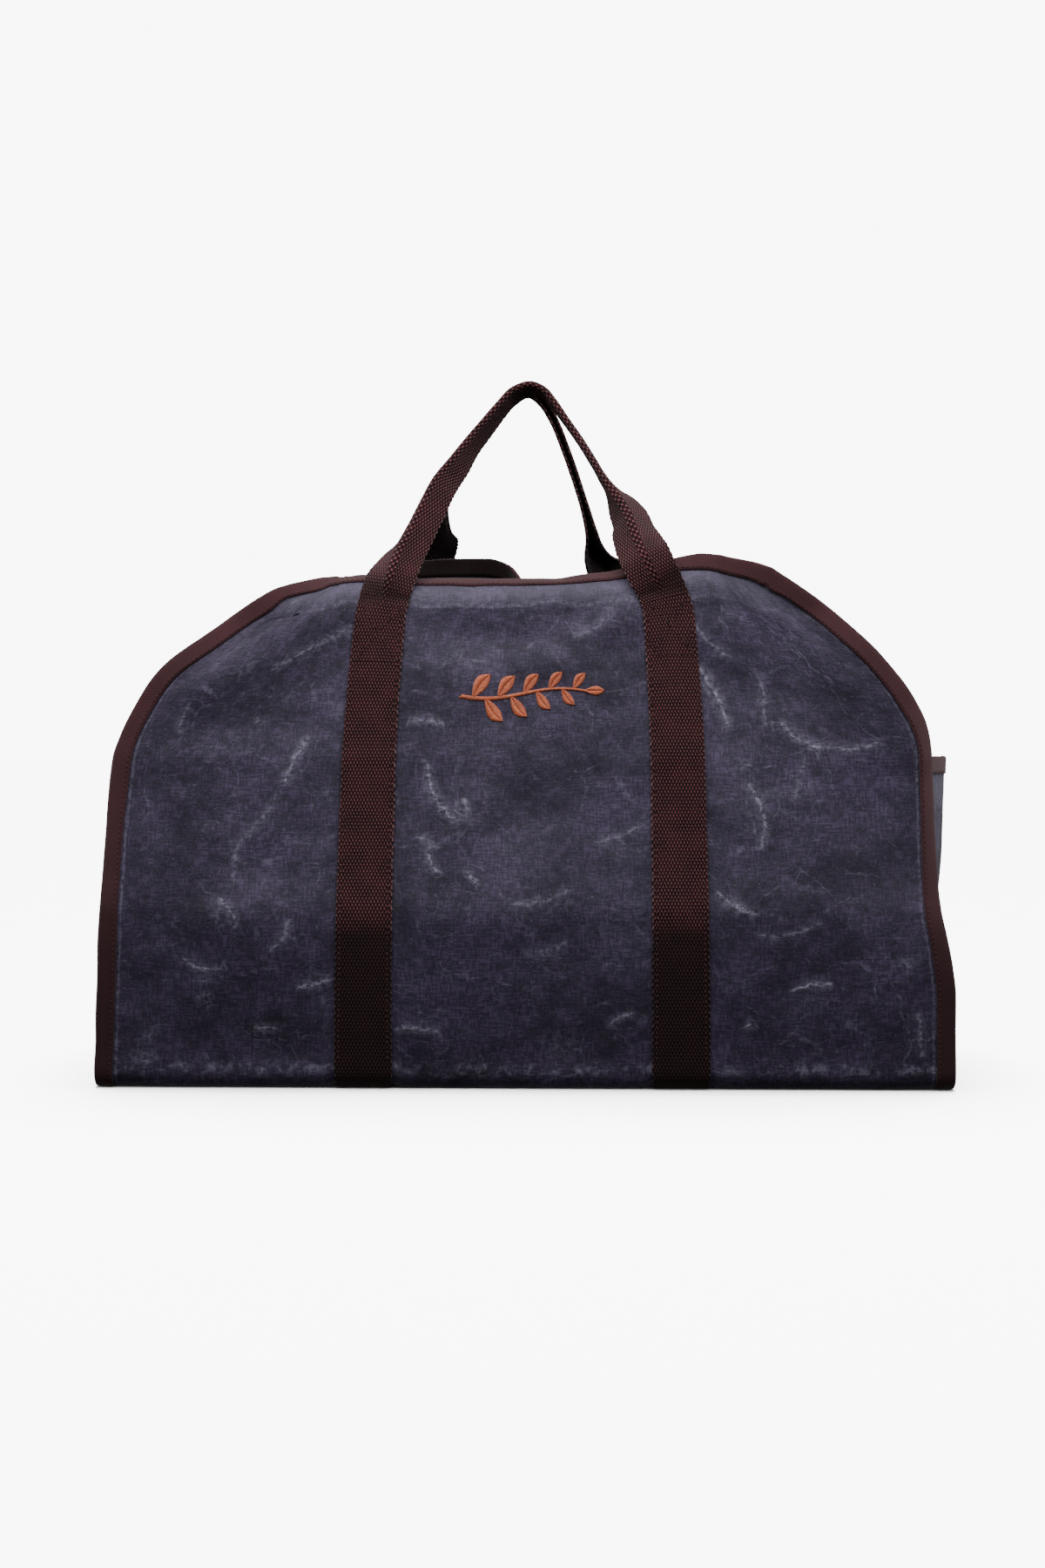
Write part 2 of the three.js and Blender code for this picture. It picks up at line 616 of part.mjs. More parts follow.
// The tape round the whole cloth. It also holds the end panels' edges on the inside.
function edgeBinding() {
  const stations = [];
  const places = [];
  const station = (edge, ring) => {
    places.push(edge);
    const inEnd = edge[0] >= END_TOP_ROW && edge[0] <= LAST_ROW - END_TOP_ROW;
    const inner = LAYER + (inEnd ? END_CANVAS + CLEARANCE : 0);
    const [er, ec] = edge;
    const [rr, rc] = ring;
    stations.push(tapeSection(GRID[er][ec], GRID[rr][rc], OUT[er][ec], OUT[rr][rc], LAYER, inner));
  };
  const inRow = (r) => THREE.MathUtils.clamp(r, 1, LAST_ROW - 1);
  const inColumn = (c) => THREE.MathUtils.clamp(c, 1, LAST_COLUMN - 1);
  for (let c = 0; c < LAST_COLUMN; c++) station([0, c], [1, inColumn(c)]);
  for (let r = 0; r < LAST_ROW; r++) station([r, LAST_COLUMN], [inRow(r), LAST_COLUMN - 1]);
  for (let c = LAST_COLUMN; c > 0; c--) station([LAST_ROW, c], [LAST_ROW - 1, inColumn(c)]);
  for (let r = LAST_ROW; r > 0; r--) station([r, 0], [inRow(r), 1]);
  // Each cell is split from the edge point that is nearer to a corner of the cloth.
  const fromMiddle = ([r, c]) => Math.abs(r - LAST_ROW / 2) + Math.abs(c - LAST_COLUMN / 2);
  const splitOther = (s, i) => {
    const here = fromMiddle(places[s]) > fromMiddle(places[(s + 1) % places.length]);
    const startsAtRing = TAPE_LEGS.includes(i);
    return here === startsAtRing;
  };
  return loft(stations, true, splitOther);
}

// The middle surface of an end panel. Each column starts in the seam with the main cloth and runs
// to the panel's upright middle line, where the columns of the front and the back meet.
function endPanelColumns(end) {
  const edge = end.side < 0 ? 0 : LAST_COLUMN;
  const ring = edge - end.side;
  const inner = ring - end.side;
  const depthIn = LAYER + END_CANVAS / 2;
  const count = LAST_ROW - 2 * END_TOP_ROW;
  const middle = count / 2;
  const halfDepth = (z) => Math.max(DEPTH / 2 - LEAN * read(LEANING, "rise", "share", z / END_HEIGHT), 1);
  const bulge = (y, z) => {
    const d = y / halfDepth(z);
    const swell = END_BULGE * read(END_SLACK, "height", "bulge", z / END_HEIGHT) * end.bulge;
    const dent = end.dent * Math.exp(-(((d - end.dentAt) / DENT_WIDTH) ** 2));
    return end.side * swell * Math.max(1 - d * d, 0) ** END_ROUND * (1 - dent);
  };
  const seam = [];
  for (let k = 0; k <= count; k++) {
    const r = END_TOP_ROW + k;
    const raw = GRID[r][edge].clone().lerp(GRID[r][ring], SEAM_INSET / TAPE_WIDTH);
    const toInner = GRID[r][inner].clone().sub(GRID[r][ring]).normalize();
    const bend = GRID[r][ring].clone().addScaledVector(toInner, END_BEND);
    seam.push([
      raw.addScaledVector(OUT[r][edge], -depthIn),
      offset(r, ring, -depthIn),
      bend.clone().addScaledVector(OUT[r][ring], -depthIn),
      bend.addScaledVector(OUT[r][ring], -depthIn - END_BEND).addScaledVector(toInner, BEND_SLANT),
    ]);
  }
  // Heights on the middle line: level with the seam high up, closing up towards the base.
  const spread = END_HEIGHT * CLOSING;
  const heightOnMiddle = (k) => {
    const from = Math.min(k, count - k);
    const z = seam[from][FREE_COLUMN].z;
    const corner = spread * CORNER_RISE;
    if (z > spread) return z;
    const last = seam[middle][FREE_COLUMN].z + 2 * END_BEND;
    const panelShare = LOWER_ROWS.length - 1;
    if (from <= panelShare) return mix(corner, spread, z / spread);
    return mix(corner, last, (from - panelShare) / (middle - panelShare));
  };
  const foot = seam.map((points) => points[FREE_COLUMN].x);
  return seam.map((points, k) => {
    const z = heightOnMiddle(k);
    const mirror = (foot[k] + foot[count - k]) / 2;
    const middlePoint = new THREE.Vector3(mirror + bulge(0, z), 0, z);
    const start = points[FREE_COLUMN];
    const column = [...points];
    for (let i = 1; i < END_STEPS; i++) {
      const share = i / END_STEPS;
      const y = mix(start.y, 0, share);
      const height = mix(start.z, z, share);
      column.push(new THREE.Vector3(mix(start.x, mirror, share) + bulge(y, height), y, height));
    }
    column.push(middlePoint);
    return column;
  });
}

// A wall on both sides of a surface given by columns of points, some of which may meet.
function thicken(columns, thickness) {
  const keyOf = (p) => `${p.x.toFixed(3)},${p.y.toFixed(3)},${p.z.toFixed(3)}`;
  const outs = new Map();
  const edges = new Map();
  const faces = [];
  for (let k = 0; k < columns.length - 1; k++) {
    for (let j = 0; j < columns[0].length - 1; j++) {
      const other = k >= (columns.length - 1) / 2;
      faces.push(...quad(columns[k][j], columns[k][j + 1], columns[k + 1][j + 1], columns[k + 1][j], other));
    }
  }
  const kept = faces.filter(([a, b, c]) => new Set([keyOf(a), keyOf(b), keyOf(c)]).size === 3);
  for (const [a, b, c] of kept) {
    const normal = b.clone().sub(a).cross(c.clone().sub(a)).normalize();
    for (const [p, q, s] of [
      [a, b, c],
      [b, c, a],
      [c, a, b],
    ]) {
      const angle = q.clone().sub(p).angleTo(s.clone().sub(p));
      const sum = outs.get(keyOf(p)) ?? new THREE.Vector3();
      outs.set(keyOf(p), sum.addScaledVector(normal, angle));
      const key = [keyOf(p), keyOf(q)].sort().join("|");
      edges.set(key, edges.has(key) ? null : [p, q]);
    }
  }
  outs.forEach((out) => out.normalize());
  const at = (p, by) => p.clone().addScaledVector(outs.get(keyOf(p)), by);
  const half = thickness / 2;
  const triangles = [];
  for (const [a, b, c] of kept) {
    triangles.push([at(a, half), at(b, half), at(c, half)]);
    triangles.push([at(a, -half), at(c, -half), at(b, -half)]);
  }
  for (const rim of edges.values()) {
    if (rim) triangles.push(...quad(at(rim[0], half), at(rim[0], -half), at(rim[1], -half), at(rim[1], half)));
  }
  return { body: closedBody(triangles), out: (p) => outs.get(keyOf(p)) };
}

// An end panel and the tape over its top edge.
function endPanel(end) {
  const columns = endPanelColumns(end);
  const made = thicken(columns, END_CANVAS);
  const last = columns[0].length - 1;
  const gap = CLEARANCE + END_CANVAS / 2;
  const sections = [];
  const station = (k, next, j) => {
    const edge = columns[k][j];
    const ring = columns[next][j];
    sections.push(tapeSection(edge, ring, made.out(edge), made.out(ring), gap, gap));
  };
  for (let j = FREE_COLUMN; j <= last; j++) station(0, 1, j);
  for (let j = last - 1; j >= FREE_COLUMN; j--) station(columns.length - 1, columns.length - 2, j);
  return { panel: made.body, tape: loft(sections, false) };
}

// The webbing's section: flat where fold is 0, and doubled along its middle where it is 90 degrees.
// Across is the direction of its width, out the direction that its outer face looks.
function webbingSection(middle, across, out, width, fold) {
  const cos = Math.cos(fold);
  const sin = Math.sin(fold);
  const half = WEBBING / 2;
  const leg = width / 2 - GRIP_CREASE;
  const apart = half + GRIP_OPENING / 2;
  const place = (a, o) => middle.clone().addScaledVector(across, a).addScaledVector(out, o);
  const row = [];
  for (const side of [-1, 1]) {
    const rootA = GRIP_CREASE * cos + apart * sin;
    const rootO = -GRIP_CREASE * sin * CREASE_SINK;
    const root = { a: side * rootA, o: rootO, na: side * Math.sin(fold / 2), no: Math.cos(fold / 2) };
    const tip = { a: side * (rootA + leg * cos), o: rootO - leg * sin, na: side * sin, no: cos };
    row.push(...(side < 0 ? [tip, root] : [root, tip]));
  }
  row.splice(2, 0, { a: 0, o: 0, na: 0, no: 1 });
  const face = (by) => row.map((p) => place(p.a + p.na * by, p.o + p.no * by));
  return [...face(half), ...face(-half).reverse()];
}

// The webbing where it is sewn to the cloth, at one row of the grid. It follows the grid's columns.
function sewnSection(row, side, flip) {
  const [left, centre, right] = [-1, 0, 1].map((out) => COLUMNS.findIndex(isStrap(side, out * side)));
  const face = flip ? [right, centre, centre, centre, left] : [left, centre, centre, centre, right];
  const columns = [...face, ...[...face].reverse()];
  const points = columns.map((c, i) => offset(row, c, i < face.length ? LAYER + WEBBING : LAYER));
  return { row, columns, points };
}

// One strap: under the base, up a panel, over as the handle, down the panel and under the base.
function handle(panel, rows) {
  const front = panel.side < 0;
  const flapRows = PANEL_ROWS - 1 - CREASE_ROW;
  const topRow = front ? flapRows : LAST_ROW - flapRows;
  const middleRow = LAST_ROW / 2;
  const step = front ? -1 : 1;
  const sewn = [];
  for (let r = middleRow; r !== topRow + step; r += step) sewn.push(r);

  // The free part starts where the sewn part ends, on the outer side of the cloth.
  const middles = [-1, 1].map((side) => {
    const c = COLUMNS.findIndex(isStrap(side, 0));
    return offset(topRow, c, LAYER + WEBBING / 2);
  });
  const gripAt = WEBBING_WIDTH / 2 + CLEARANCE; // the crease of the shut grip, from the middle plane
  const path = rows.map((row) => {
    const y = mix(middles[row.x < 0 ? 0 : 1].y, panel.side * gripAt, row.in);
    return new THREE.Vector3((row.x * STRAP_SPACING) / 2, y, BODY_HEIGHT + row.rise * HANDLE_RISE);
  });
  const line = new THREE.CatmullRomCurve3([middles[0], ...path, middles[1]], false, "centripetal");
  const sewnEnd = { width: panel.straps[panel.straps.length - 1].width, fold: 0, roll: 0 };
  const keys = [sewnEnd, ...rows, sewnEnd].map((row, i) => ({ ...row, key: i }));
  const free = [];
  const radians = THREE.MathUtils.degToRad;
  for (let i = 1; i < HANDLE_STATIONS; i++) {
    const t = line.getUtoTmapping(i / HANDLE_STATIONS);
    const along = line.getTangent(t);
    const out = new THREE.Vector3(0, panel.side, 0).addScaledVector(along, -panel.side * along.y).normalize();
    const across = along.clone().cross(out);
    const key = t * (keys.length - 1);
    const roll = radians(read(keys, "key", "roll", key)) * panel.side;
    const rolled = (v) => v.clone().applyAxisAngle(along, -roll);
    const fold = radians(read(keys, "key", "fold", key));
    const width = WEBBING_WIDTH * read(keys, "key", "width", key);
    free.push({ points: webbingSection(line.getPoint(t), rolled(across), rolled(out), width, fold) });
  }
  const left = sewn.map((r) => sewnSection(r, -1, !front));
  const right = [...sewn].reverse().map((r) => sewnSection(r, 1, front));
  // The two straps stop short of each other under the middle of the base.
  for (const last of [left[0], right[right.length - 1]]) {
    last.points.forEach((p) => p.setY((panel.side * CLEARANCE) / 2));
  }
  const sections = [...left, ...free, ...right];
  const splitOther = (s, i) => {
    const here = sections[s];
    const next = sections[s + 1];
    if (here.row === undefined || next.row === undefined) return false;
    const from = here.columns[i];
    const to = here.columns[(i + 1) % here.columns.length];
    const down = isSplitDown(Math.min(here.row, next.row), Math.min(from, to));
    return down !== (here.row < next.row === from < to);
  };
  return loft(
    sections.map((section) => section.points),
    false,
    splitOther,
  );
}

const cloth = (color, roughness) => new THREE.MeshStandardMaterial({ color, roughness, metalness: 0 });
const WAXED_CANVAS = cloth(0x3a3848, 0.62);
const BINDING_TAPE = cloth(0x432a2d, 0.9);
const COTTON_WEBBING = cloth(0x3a1f22, 0.95);

function piece(name, geometry, material) {
  const mesh = new THREE.Mesh(geometry, material);
  mesh.name = name;
  return mesh;
}

const carrier = new THREE.Group();
carrier.name = "canvas_log_carrier";
carrier.add(piece("main_cloth", mainCloth(), WAXED_CANVAS));
carrier.add(piece("edge_binding", edgeBinding(), BINDING_TAPE));
for (const end of ENDS) {
  const { panel, tape } = endPanel(end);
  carrier.add(piece(end.name, panel, WAXED_CANVAS));
  carrier.add(piece(`${end.name}_binding`, tape, BINDING_TAPE));
}
carrier.add(piece("front_handle", handle(FRONT, FRONT_HANDLE), COTTON_WEBBING));
carrier.add(piece("back_handle", handle(BACK, BACK_HANDLE), COTTON_WEBBING));

export default carrier;
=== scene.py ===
"""A waxed-canvas log carrier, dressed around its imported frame. Shapes are worked out in millimetres."""

import math

import bmesh
import bpy
import numpy as np
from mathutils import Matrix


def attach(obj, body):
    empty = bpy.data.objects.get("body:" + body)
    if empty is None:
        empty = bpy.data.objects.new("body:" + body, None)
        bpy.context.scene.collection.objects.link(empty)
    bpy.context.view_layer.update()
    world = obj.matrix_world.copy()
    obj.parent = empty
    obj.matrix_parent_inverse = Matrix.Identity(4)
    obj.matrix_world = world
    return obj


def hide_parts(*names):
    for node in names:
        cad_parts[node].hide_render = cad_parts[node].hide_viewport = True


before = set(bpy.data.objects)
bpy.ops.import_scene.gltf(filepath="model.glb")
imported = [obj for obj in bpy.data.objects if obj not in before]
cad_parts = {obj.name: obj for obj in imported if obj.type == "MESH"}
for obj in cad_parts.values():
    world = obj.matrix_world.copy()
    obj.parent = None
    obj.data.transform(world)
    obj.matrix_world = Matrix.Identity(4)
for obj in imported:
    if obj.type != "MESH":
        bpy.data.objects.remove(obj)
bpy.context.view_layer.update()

# The main cloth: one length of heavy cotton canvas, cut in one for the front panel, the base and
# the back panel, and soaked in wax. It stands by its own stiffness, leans in towards the top, and
# its top edges droop inwards.
MM = 0.001
LENGTH = 594  # along the logs, edge to edge at the floor
DEPTH = 260  # front panel to back panel at the floor
BODY_HEIGHT = 358  # floor to the top edge between the handles
END_HEIGHT = 229  # floor to the end panels' top edge, where the side edges start to slope
FOLD_RADIUS = 10  # where the cloth turns up from the base
LEAN = 50  # how far each panel leans in by the time it reaches its flap
FLAP = 30  # the strip along the top edge that droops inwards
FLAP_TURN = math.radians(65)  # the droop at its most
CANVAS = 1.5  # wall of the main cloth
TAPE = 1  # thickness of each leg of the binding
TAPE_WIDTH = 12  # of each leg, across the cloth
WEBBING = 2.2  # thickness
WEBBING_WIDTH = 40
STRAP_SPACING = 220  # between the middles of the two straps of a panel
STRAP_MARGIN = 8  # cloth beside a strap that rises to meet it under the base
GAP = 0.3  # between two layers under the base, where they lift the cloth
THREAD_STEP = 4.1  # of the cloth's mesh

# How a panel leans: rise is 0 at the floor, 1 at the end panel's top and 2 at the top edge.
LEANING = np.array([[0, 0], [0.5, 0.04], [0.66, 0.2], [0.85, 0.38], [1, 0.5], [1.5, 0.78], [1.86, 1]])

# Straps: rise, and shares of their spacing and width at the floor. Side edges of a panel: rise,
# across as a share of half the length, turn as a share of the flap's droop. Top edge: across,
# height as a share of the body's, turn. Folds: soft ridges or dents from one place to another, as
# shares of half the length and of the body's height, with a width and a height as shares of the flap.
FRONT = {
    "side": -1,
    "straps": np.array([[0, 1, 1], [0.92, 0.985, 0.95], [1.9, 0.92, 0.9], [2, 0.91, 0.9]]),
    "left": np.array(
        [
            [0, 1, 0], [0.32, 0.99, 0], [0.76, 0.981, 0.1], [1, 0.967, 0], [1.1, 0.957, 0],
            [1.34, 0.908, 0], [1.5, 0.858, 0], [1.7, 0.742, 0.1], [1.85, 0.653, 0.1],
            [1.94, 0.585, 0], [2, 0.485, 0],
        ]
    ),
    "right": np.array(
        [
            [0, 1, 0], [0.27, 1, 0], [0.42, 0.988, 0.15], [0.56, 0.969, 0.4], [0.76, 0.963, 0.62],
            [1, 0.961, 0.65], [1.14, 0.953, 0.45], [1.32, 0.918, 0.1], [1.54, 0.844, 0],
            [1.69, 0.773, 0], [1.85, 0.688, 0], [2, 0.588, 0],
        ]
    ),
    "top": np.array(
        [
            [-0.66, 0.996, 0], [-0.485, 0.996, 0.75], [-0.42, 1.001, 1], [-0.38, 1.004, 0.95],
            [-0.28, 0.997, 1], [0.04, 0.996, 1], [0.15, 1.003, 0.9], [0.24, 1.013, 0.85],
            [0.354, 1.032, 0.7], [0.427, 1.042, 0.35], [0.53, 1.026, 0.05], [0.588, 1.0117, 0],
        ]
    ),
    "folds": [
        (-0.15, 0.3, 0.15, 0.3, 3, 0.17),
        (-0.65, 0.3, -0.7, 0.6, 2, 0.2),
        (0.62, 0.25, 0.66, 0.55, 1.9, 0.2),
        (0.88, 0.4, 0.88, 0.6, 0.9, -0.3),
        (-0.45, 0.93, -0.75, 0.78, 0.6, 0.14),
        (0.6, 0.95, 0.72, 0.85, 1.2, 0.25),
        (-0.6, 0.95, -0.75, 0.85, 1.4, 0.2),
        (0.45, 0.82, 0.52, 0.6, 0.6, -0.14),
        (-0.18, 0.87, 0.18, 0.87, 0.6, -0.1),
        (0.27, 0.93, 0.08, 0.84, 0.5, 0.12),
    ],
}
BACK = {
    "side": 1,
    "straps": np.array([[0, 1, 1], [0.92, 0.95, 0.95], [1.9, 0.84, 0.9], [2, 0.83, 0.9]]),
    "left": np.array(
        [
            [0, 1, 0], [0.4, 0.99, 0.1], [1, 0.965, 0.3], [1.1, 0.955, 0.2], [1.34, 0.9, 0],
            [1.5, 0.848, 0], [1.7, 0.745, 0], [1.85, 0.655, 0], [2, 0.53, 0],
        ]
    ),
    "right": np.array(
        [
            [0, 1, 0], [0.4, 0.99, 0], [1, 0.966, 0.1], [1.1, 0.957, 0], [1.34, 0.905, 0],
            [1.5, 0.85, 0], [1.7, 0.74, 0.1], [1.85, 0.65, 0.1], [2, 0.53, 0],
        ]
    ),
    "top": np.array(
        [
            [-0.68, 1.004, 0], [-0.53, 1.004, 0.4], [-0.43, 1.03, 0.3], [-0.36, 1.053, 0.15],
            [-0.28, 1.066, 0], [-0.11, 1.068, 0], [-0.055, 1.055, 0.2], [-0.025, 1.025, 0.6],
            [0.02, 0.993, 1], [0.25, 1.0, 0.95], [0.4, 1.012, 0.65], [0.53, 1.002, 0.3],
            [0.68, 1.002, 0],
        ]
    ),
    "folds": [
        (-0.2, 0.35, 0.2, 0.3, 3, 0.17),
        (-0.66, 0.3, -0.66, 0.6, 2, 0.24),
        (0.64, 0.28, 0.7, 0.55, 2, 0.2),
        (-0.86, 0.36, -0.88, 0.6, 0.9, -0.2),
        (0.5, 0.92, 0.72, 0.8, 0.7, 0.14),
        (-0.45, 0.85, -0.55, 0.55, 0.7, -0.12),
        (0.1, 0.9, 0.3, 0.8, 0.6, -0.1),
        (-0.05, 0.95, -0.02, 0.8, 0.6, 0.12),
    ],
}
LOWER_ROWS = [*np.arange(15) / 16, 1 - TAPE_WIDTH / END_HEIGHT, 1]
UPPER_ROWS = [*np.arange(1, 15) / 14]
CREASE_ROW = len(LOWER_ROWS) + len(UPPER_ROWS) - 1
# The flap's steps from its crease to the top edge: length, and share of the droop.
FLAP_STEPS = [((FLAP - TAPE_WIDTH) * 0.53, 0.35), ((FLAP - TAPE_WIDTH) * 0.47, 0.8), (TAPE_WIDTH, 1)]
TOP_ROW = CREASE_ROW + len(FLAP_STEPS)


def curve(knots, values, at):
    """A smooth curve through the values at the knots, level past both ends.

    Between two knots it is a cubic. Its slope at a knot is the harmonic mean of the slopes on both
    sides, and none at a peak, so nothing overshoots.
    """
    values = np.asarray(values, float)
    at = np.clip(at, knots[0], knots[-1])
    spans = np.diff(knots)
    slopes = np.diff(values, axis=0) / spans.reshape(-1, *[1] * (values.ndim - 1))
    before, after = slopes[:-1], slopes[1:]
    alike = before * after > 0
    inner = np.where(alike, 2 * before * after / np.where(alike, before + after, 1), 0)
    tangents = np.concatenate([slopes[:1], inner, slopes[-1:]])
    i = np.clip(np.searchsorted(knots, at, side="right") - 1, 0, len(knots) - 2)
    spread = np.shape(at) + (1,) * (values.ndim - 1)
    span = spans[i].reshape(spread)
    t = ((at - knots[i]) / spans[i]).reshape(spread)
    rest = 1 - t
    return (
        values[i] * (1 + 2 * t) * rest**2
        + tangents[i] * span * t * rest**2
        + values[i + 1] * (3 - 2 * t) * t**2
        - tangents[i + 1] * span * t**2 * rest
    )


def read(rows, column, at):
    """A column of a table as a smooth curve over the table's first column."""
    return curve(rows[:, 0], rows[:, column], np.asarray(at, float))


def mix(a, b, share):
    """From a at share 0 to b at share 1."""
    return a + (b - a) * share


def smooth(share):
    """From 0 to 1 with a level start and end."""
    share = np.clip(share, 0, 1)
    return share * share * (3 - 2 * share)


def top_of(panel, x):
    """Height and droop of a panel's top edge over x."""
    across = np.asarray(x) / (LENGTH / 2)
    return read(panel["top"], 1, across) * BODY_HEIGHT, read(panel["top"], 2, across) * FLAP_TURN


def flap_drop(start, droop):
    """How far below the top edge a step of the flap starts: its steps' lengths, foreshortened."""
    return sum((length * np.cos(share * droop) for length, share in FLAP_STEPS[start:]), 0 * droop)


def rise_of(z, top):
    """Rise of a height: 0 at the floor, 1 at the end panel's top, 2 at the panel's top."""
    return np.where(z <= END_HEIGHT, z / END_HEIGHT, 1 + (z - END_HEIGHT) / (top - END_HEIGHT))


def relief(panel, x, z):
    """The panel's soft ridges and dents: each falls off as a bell from its own straight line."""
    total = np.zeros(np.shape(x))
    for x0, z0, x1, z1, width, height in panel["folds"]:
        ax, az = x0 * LENGTH / 2, z0 * BODY_HEIGHT
        bx, bz = x1 * LENGTH / 2 - ax, z1 * BODY_HEIGHT - az
        t = np.clip(((x - ax) * bx + (z - az) * bz) / (bx * bx + bz * bz), 0, 1)
        away = np.hypot(x - ax - t * bx, z - az - t * bz) / (width * FLAP)
        total += height * FLAP * np.exp(-away * away)
    return total


def standing(panel, x, z):
    """How far a panel's cloth stands from the carrier's middle plane: the depth at the floor, less
    the lean, plus the folds, less what the flap above its crease turns in."""
    top, droop = top_of(panel, x)
    inset = 0
    for i, (length, share) in enumerate(FLAP_STEPS):
        rest = length * np.cos(share * droop)
        part = np.clip((flap_drop(i, droop) - (top - z)) / rest, 0, 1)
        inset = inset + part * length * np.sin(share * droop)
    height = np.minimum(z, top - flap_drop(0, droop))
    lean = LEAN * read(LEANING, 1, rise_of(height, BODY_HEIGHT))
    fade = smooth(height / END_HEIGHT / 0.2)
    return DEPTH / 2 - lean + fade * relief(panel, x, height) - inset


# The grid's columns from the left edge to the right: what share of the straps' spacing, of half
# their width and of the margin each lies at, how far it is lifted under the base, and its place
# between the tape's inner line and the first of those, where it is one of the wings.
STRAP_LIFT = WEBBING + GAP
TAPE_LIFT = TAPE + GAP
HALF_COLUMNS = [(1, 1, 1, TAPE_LIFT, 0)] * 2
HALF_COLUMNS += [(1, 1, 1, 0, share) for share in (0.25, 0.5, 0.75)]
HALF_COLUMNS += [(1, 1, 1, 0, 1), (1, 1, 0, STRAP_LIFT, 1), (1, 0, 0, STRAP_LIFT, 1)]
HALF_COLUMNS += [(1, -1, 0, STRAP_LIFT, 1), (1, -1, -1, 0, 1)]
MIDDLE = [(share, -share, -share, 0, 1) for share in (-0.75, -0.5, -0.25, 0, 0.25, 0.5, 0.75)]
LEFT = [(-a, -b, -c, lift, wing) for a, b, c, lift, wing in HALF_COLUMNS]
BY_SPACING, BY_WIDTH, BY_MARGIN, LIFT, WING = np.array(LEFT + MIDDLE + HALF_COLUMNS[::-1], float).T
LAST_COLUMN = len(LIFT) - 1
STRAP_COLUMNS = {-1: (6, 8), 1: (LAST_COLUMN - 8, LAST_COLUMN - 6)}


def line_x(panel, rise):
    """X of each column's own line at a rise, for a row of rises as long as the columns."""
    spacing = STRAP_SPACING / 2 * read(panel["straps"], 1, rise)
    half = WEBBING_WIDTH / 2 * read(panel["straps"], 2, rise)
    return BY_SPACING * spacing + BY_WIDTH * half + BY_MARGIN * STRAP_MARGIN


def row_height(panel, row, lift, x):
    """Height of a row over x: a share of each zone of the panel, and the flap's steps above."""
    top, droop = top_of(panel, x)
    crease = top - flap_drop(0, droop)
    if row < len(LOWER_ROWS):
        return mix(FOLD_RADIUS + CANVAS / 2 + lift, END_HEIGHT, LOWER_ROWS[row]) + 0 * crease
    if row <= CREASE_ROW:
        return mix(END_HEIGHT, crease, UPPER_ROWS[row - len(LOWER_ROWS)])
    return top - flap_drop(row - CREASE_ROW, droop)


def side_edge(panel, side, z, corner):
    """A side edge's point, the tape's inner line and how far the cloth turns in between them, at
    the height where that inner line lies. The edge's height is found by repeated correction."""
    rows = panel["left" if side < 0 else "right"]
    corner_z, corner_droop = corner

    def across(height):
        return read(rows, 1, rise_of(height, corner_z)) * LENGTH / 2

    turn = read(rows, 2, rise_of(z, corner_z)) * FLAP_TURN
    droop = np.where(z > corner_z - flap_drop(0, corner_droop), corner_droop, 0)
    height = z
    for _ in range(12):
        slant = (across(height) - across(height - 1)) * np.cos(droop)
        tape = TAPE_WIDTH * np.cos(turn) / np.hypot(1, slant)
        height = np.minimum(z - tape * slant * np.cos(droop), corner_z)
    return side * across(height), height, side * (across(height) - tape), TAPE_WIDTH * np.sin(turn)


def panel_grid(panel):
    """A panel's rows of points, from the fold above the base to its top edge."""
    x = np.zeros((TOP_ROW + 1, LAST_COLUMN + 1))
    z = np.zeros_like(x)
    turn_in = np.zeros_like(x)
    for side, edge, ring in ((-1, 0, 1), (1, LAST_COLUMN, LAST_COLUMN - 1)):
        corner_x = side * panel["left" if side < 0 else "right"][-1, 1] * LENGTH / 2
        corner_z, corner_droop = top_of(panel, corner_x)
        heights = np.array([row_height(panel, row, TAPE_LIFT, corner_x) for row in range(TOP_ROW)])
        edge_x, edge_z, ring_x, turned = side_edge(panel, side, heights, (corner_z, corner_droop))
        x[:-1, edge], z[:-1, edge], turn_in[:-1, edge] = edge_x, edge_z, turned
        x[:-1, ring], z[:-1, ring] = ring_x, heights
        x[-1, edge], z[-1, edge] = corner_x, corner_z
        x[-1, ring], z[-1, ring] = ring_x[-1], top_of(panel, ring_x[-1])[0]
    inner = slice(2, LAST_COLUMN - 1)
    ring_of = np.where(BY_SPACING < 0, 1, LAST_COLUMN - 1)
    for row in range(TOP_ROW + 1):
        at_top = line_x(panel, np.full(LAST_COLUMN + 1, 2.0))
        height = row_height(panel, row, LIFT, at_top)
        own_x = line_x(panel, rise_of(height, top_of(panel, at_top)[0]))
        own_z = row_height(panel, row, LIFT, own_x)
        wing_x = mix(x[row, ring_of], own_x, WING)
        if row == TOP_ROW:
            wing_x = np.where(WING < 1, x[row - 1], own_x)
        wing_z = mix(z[row, ring_of], own_z, WING)
        if row >= CREASE_ROW:
            wing_z = row_height(panel, row, LIFT, wing_x)
        x[row, inner] = wing_x[inner]
        z[row, inner] = wing_z[inner]
    y = panel["side"] * (standing(panel, x, z) - turn_in)
    return np.stack([x, y, z], axis=-1)


def fold_row(front, side, share):
    """A row of the round fold between the base and a panel: a quarter circle of FOLD_RADIUS."""
    angle = share * math.pi / 2
    row = front.copy()
    row[:, 1] = side * (DEPTH / 2 - FOLD_RADIUS + FOLD_RADIUS * math.sin(angle))
    row[:, 2] = CANVAS / 2 + LIFT + FOLD_RADIUS * (1 - math.cos(angle))
    return row


def base_row(front, y):
    """A row of the flat base at y."""
    row = front.copy()
    row[:, 1] = y
    row[:, 2] = CANVAS / 2 + LIFT
    return row


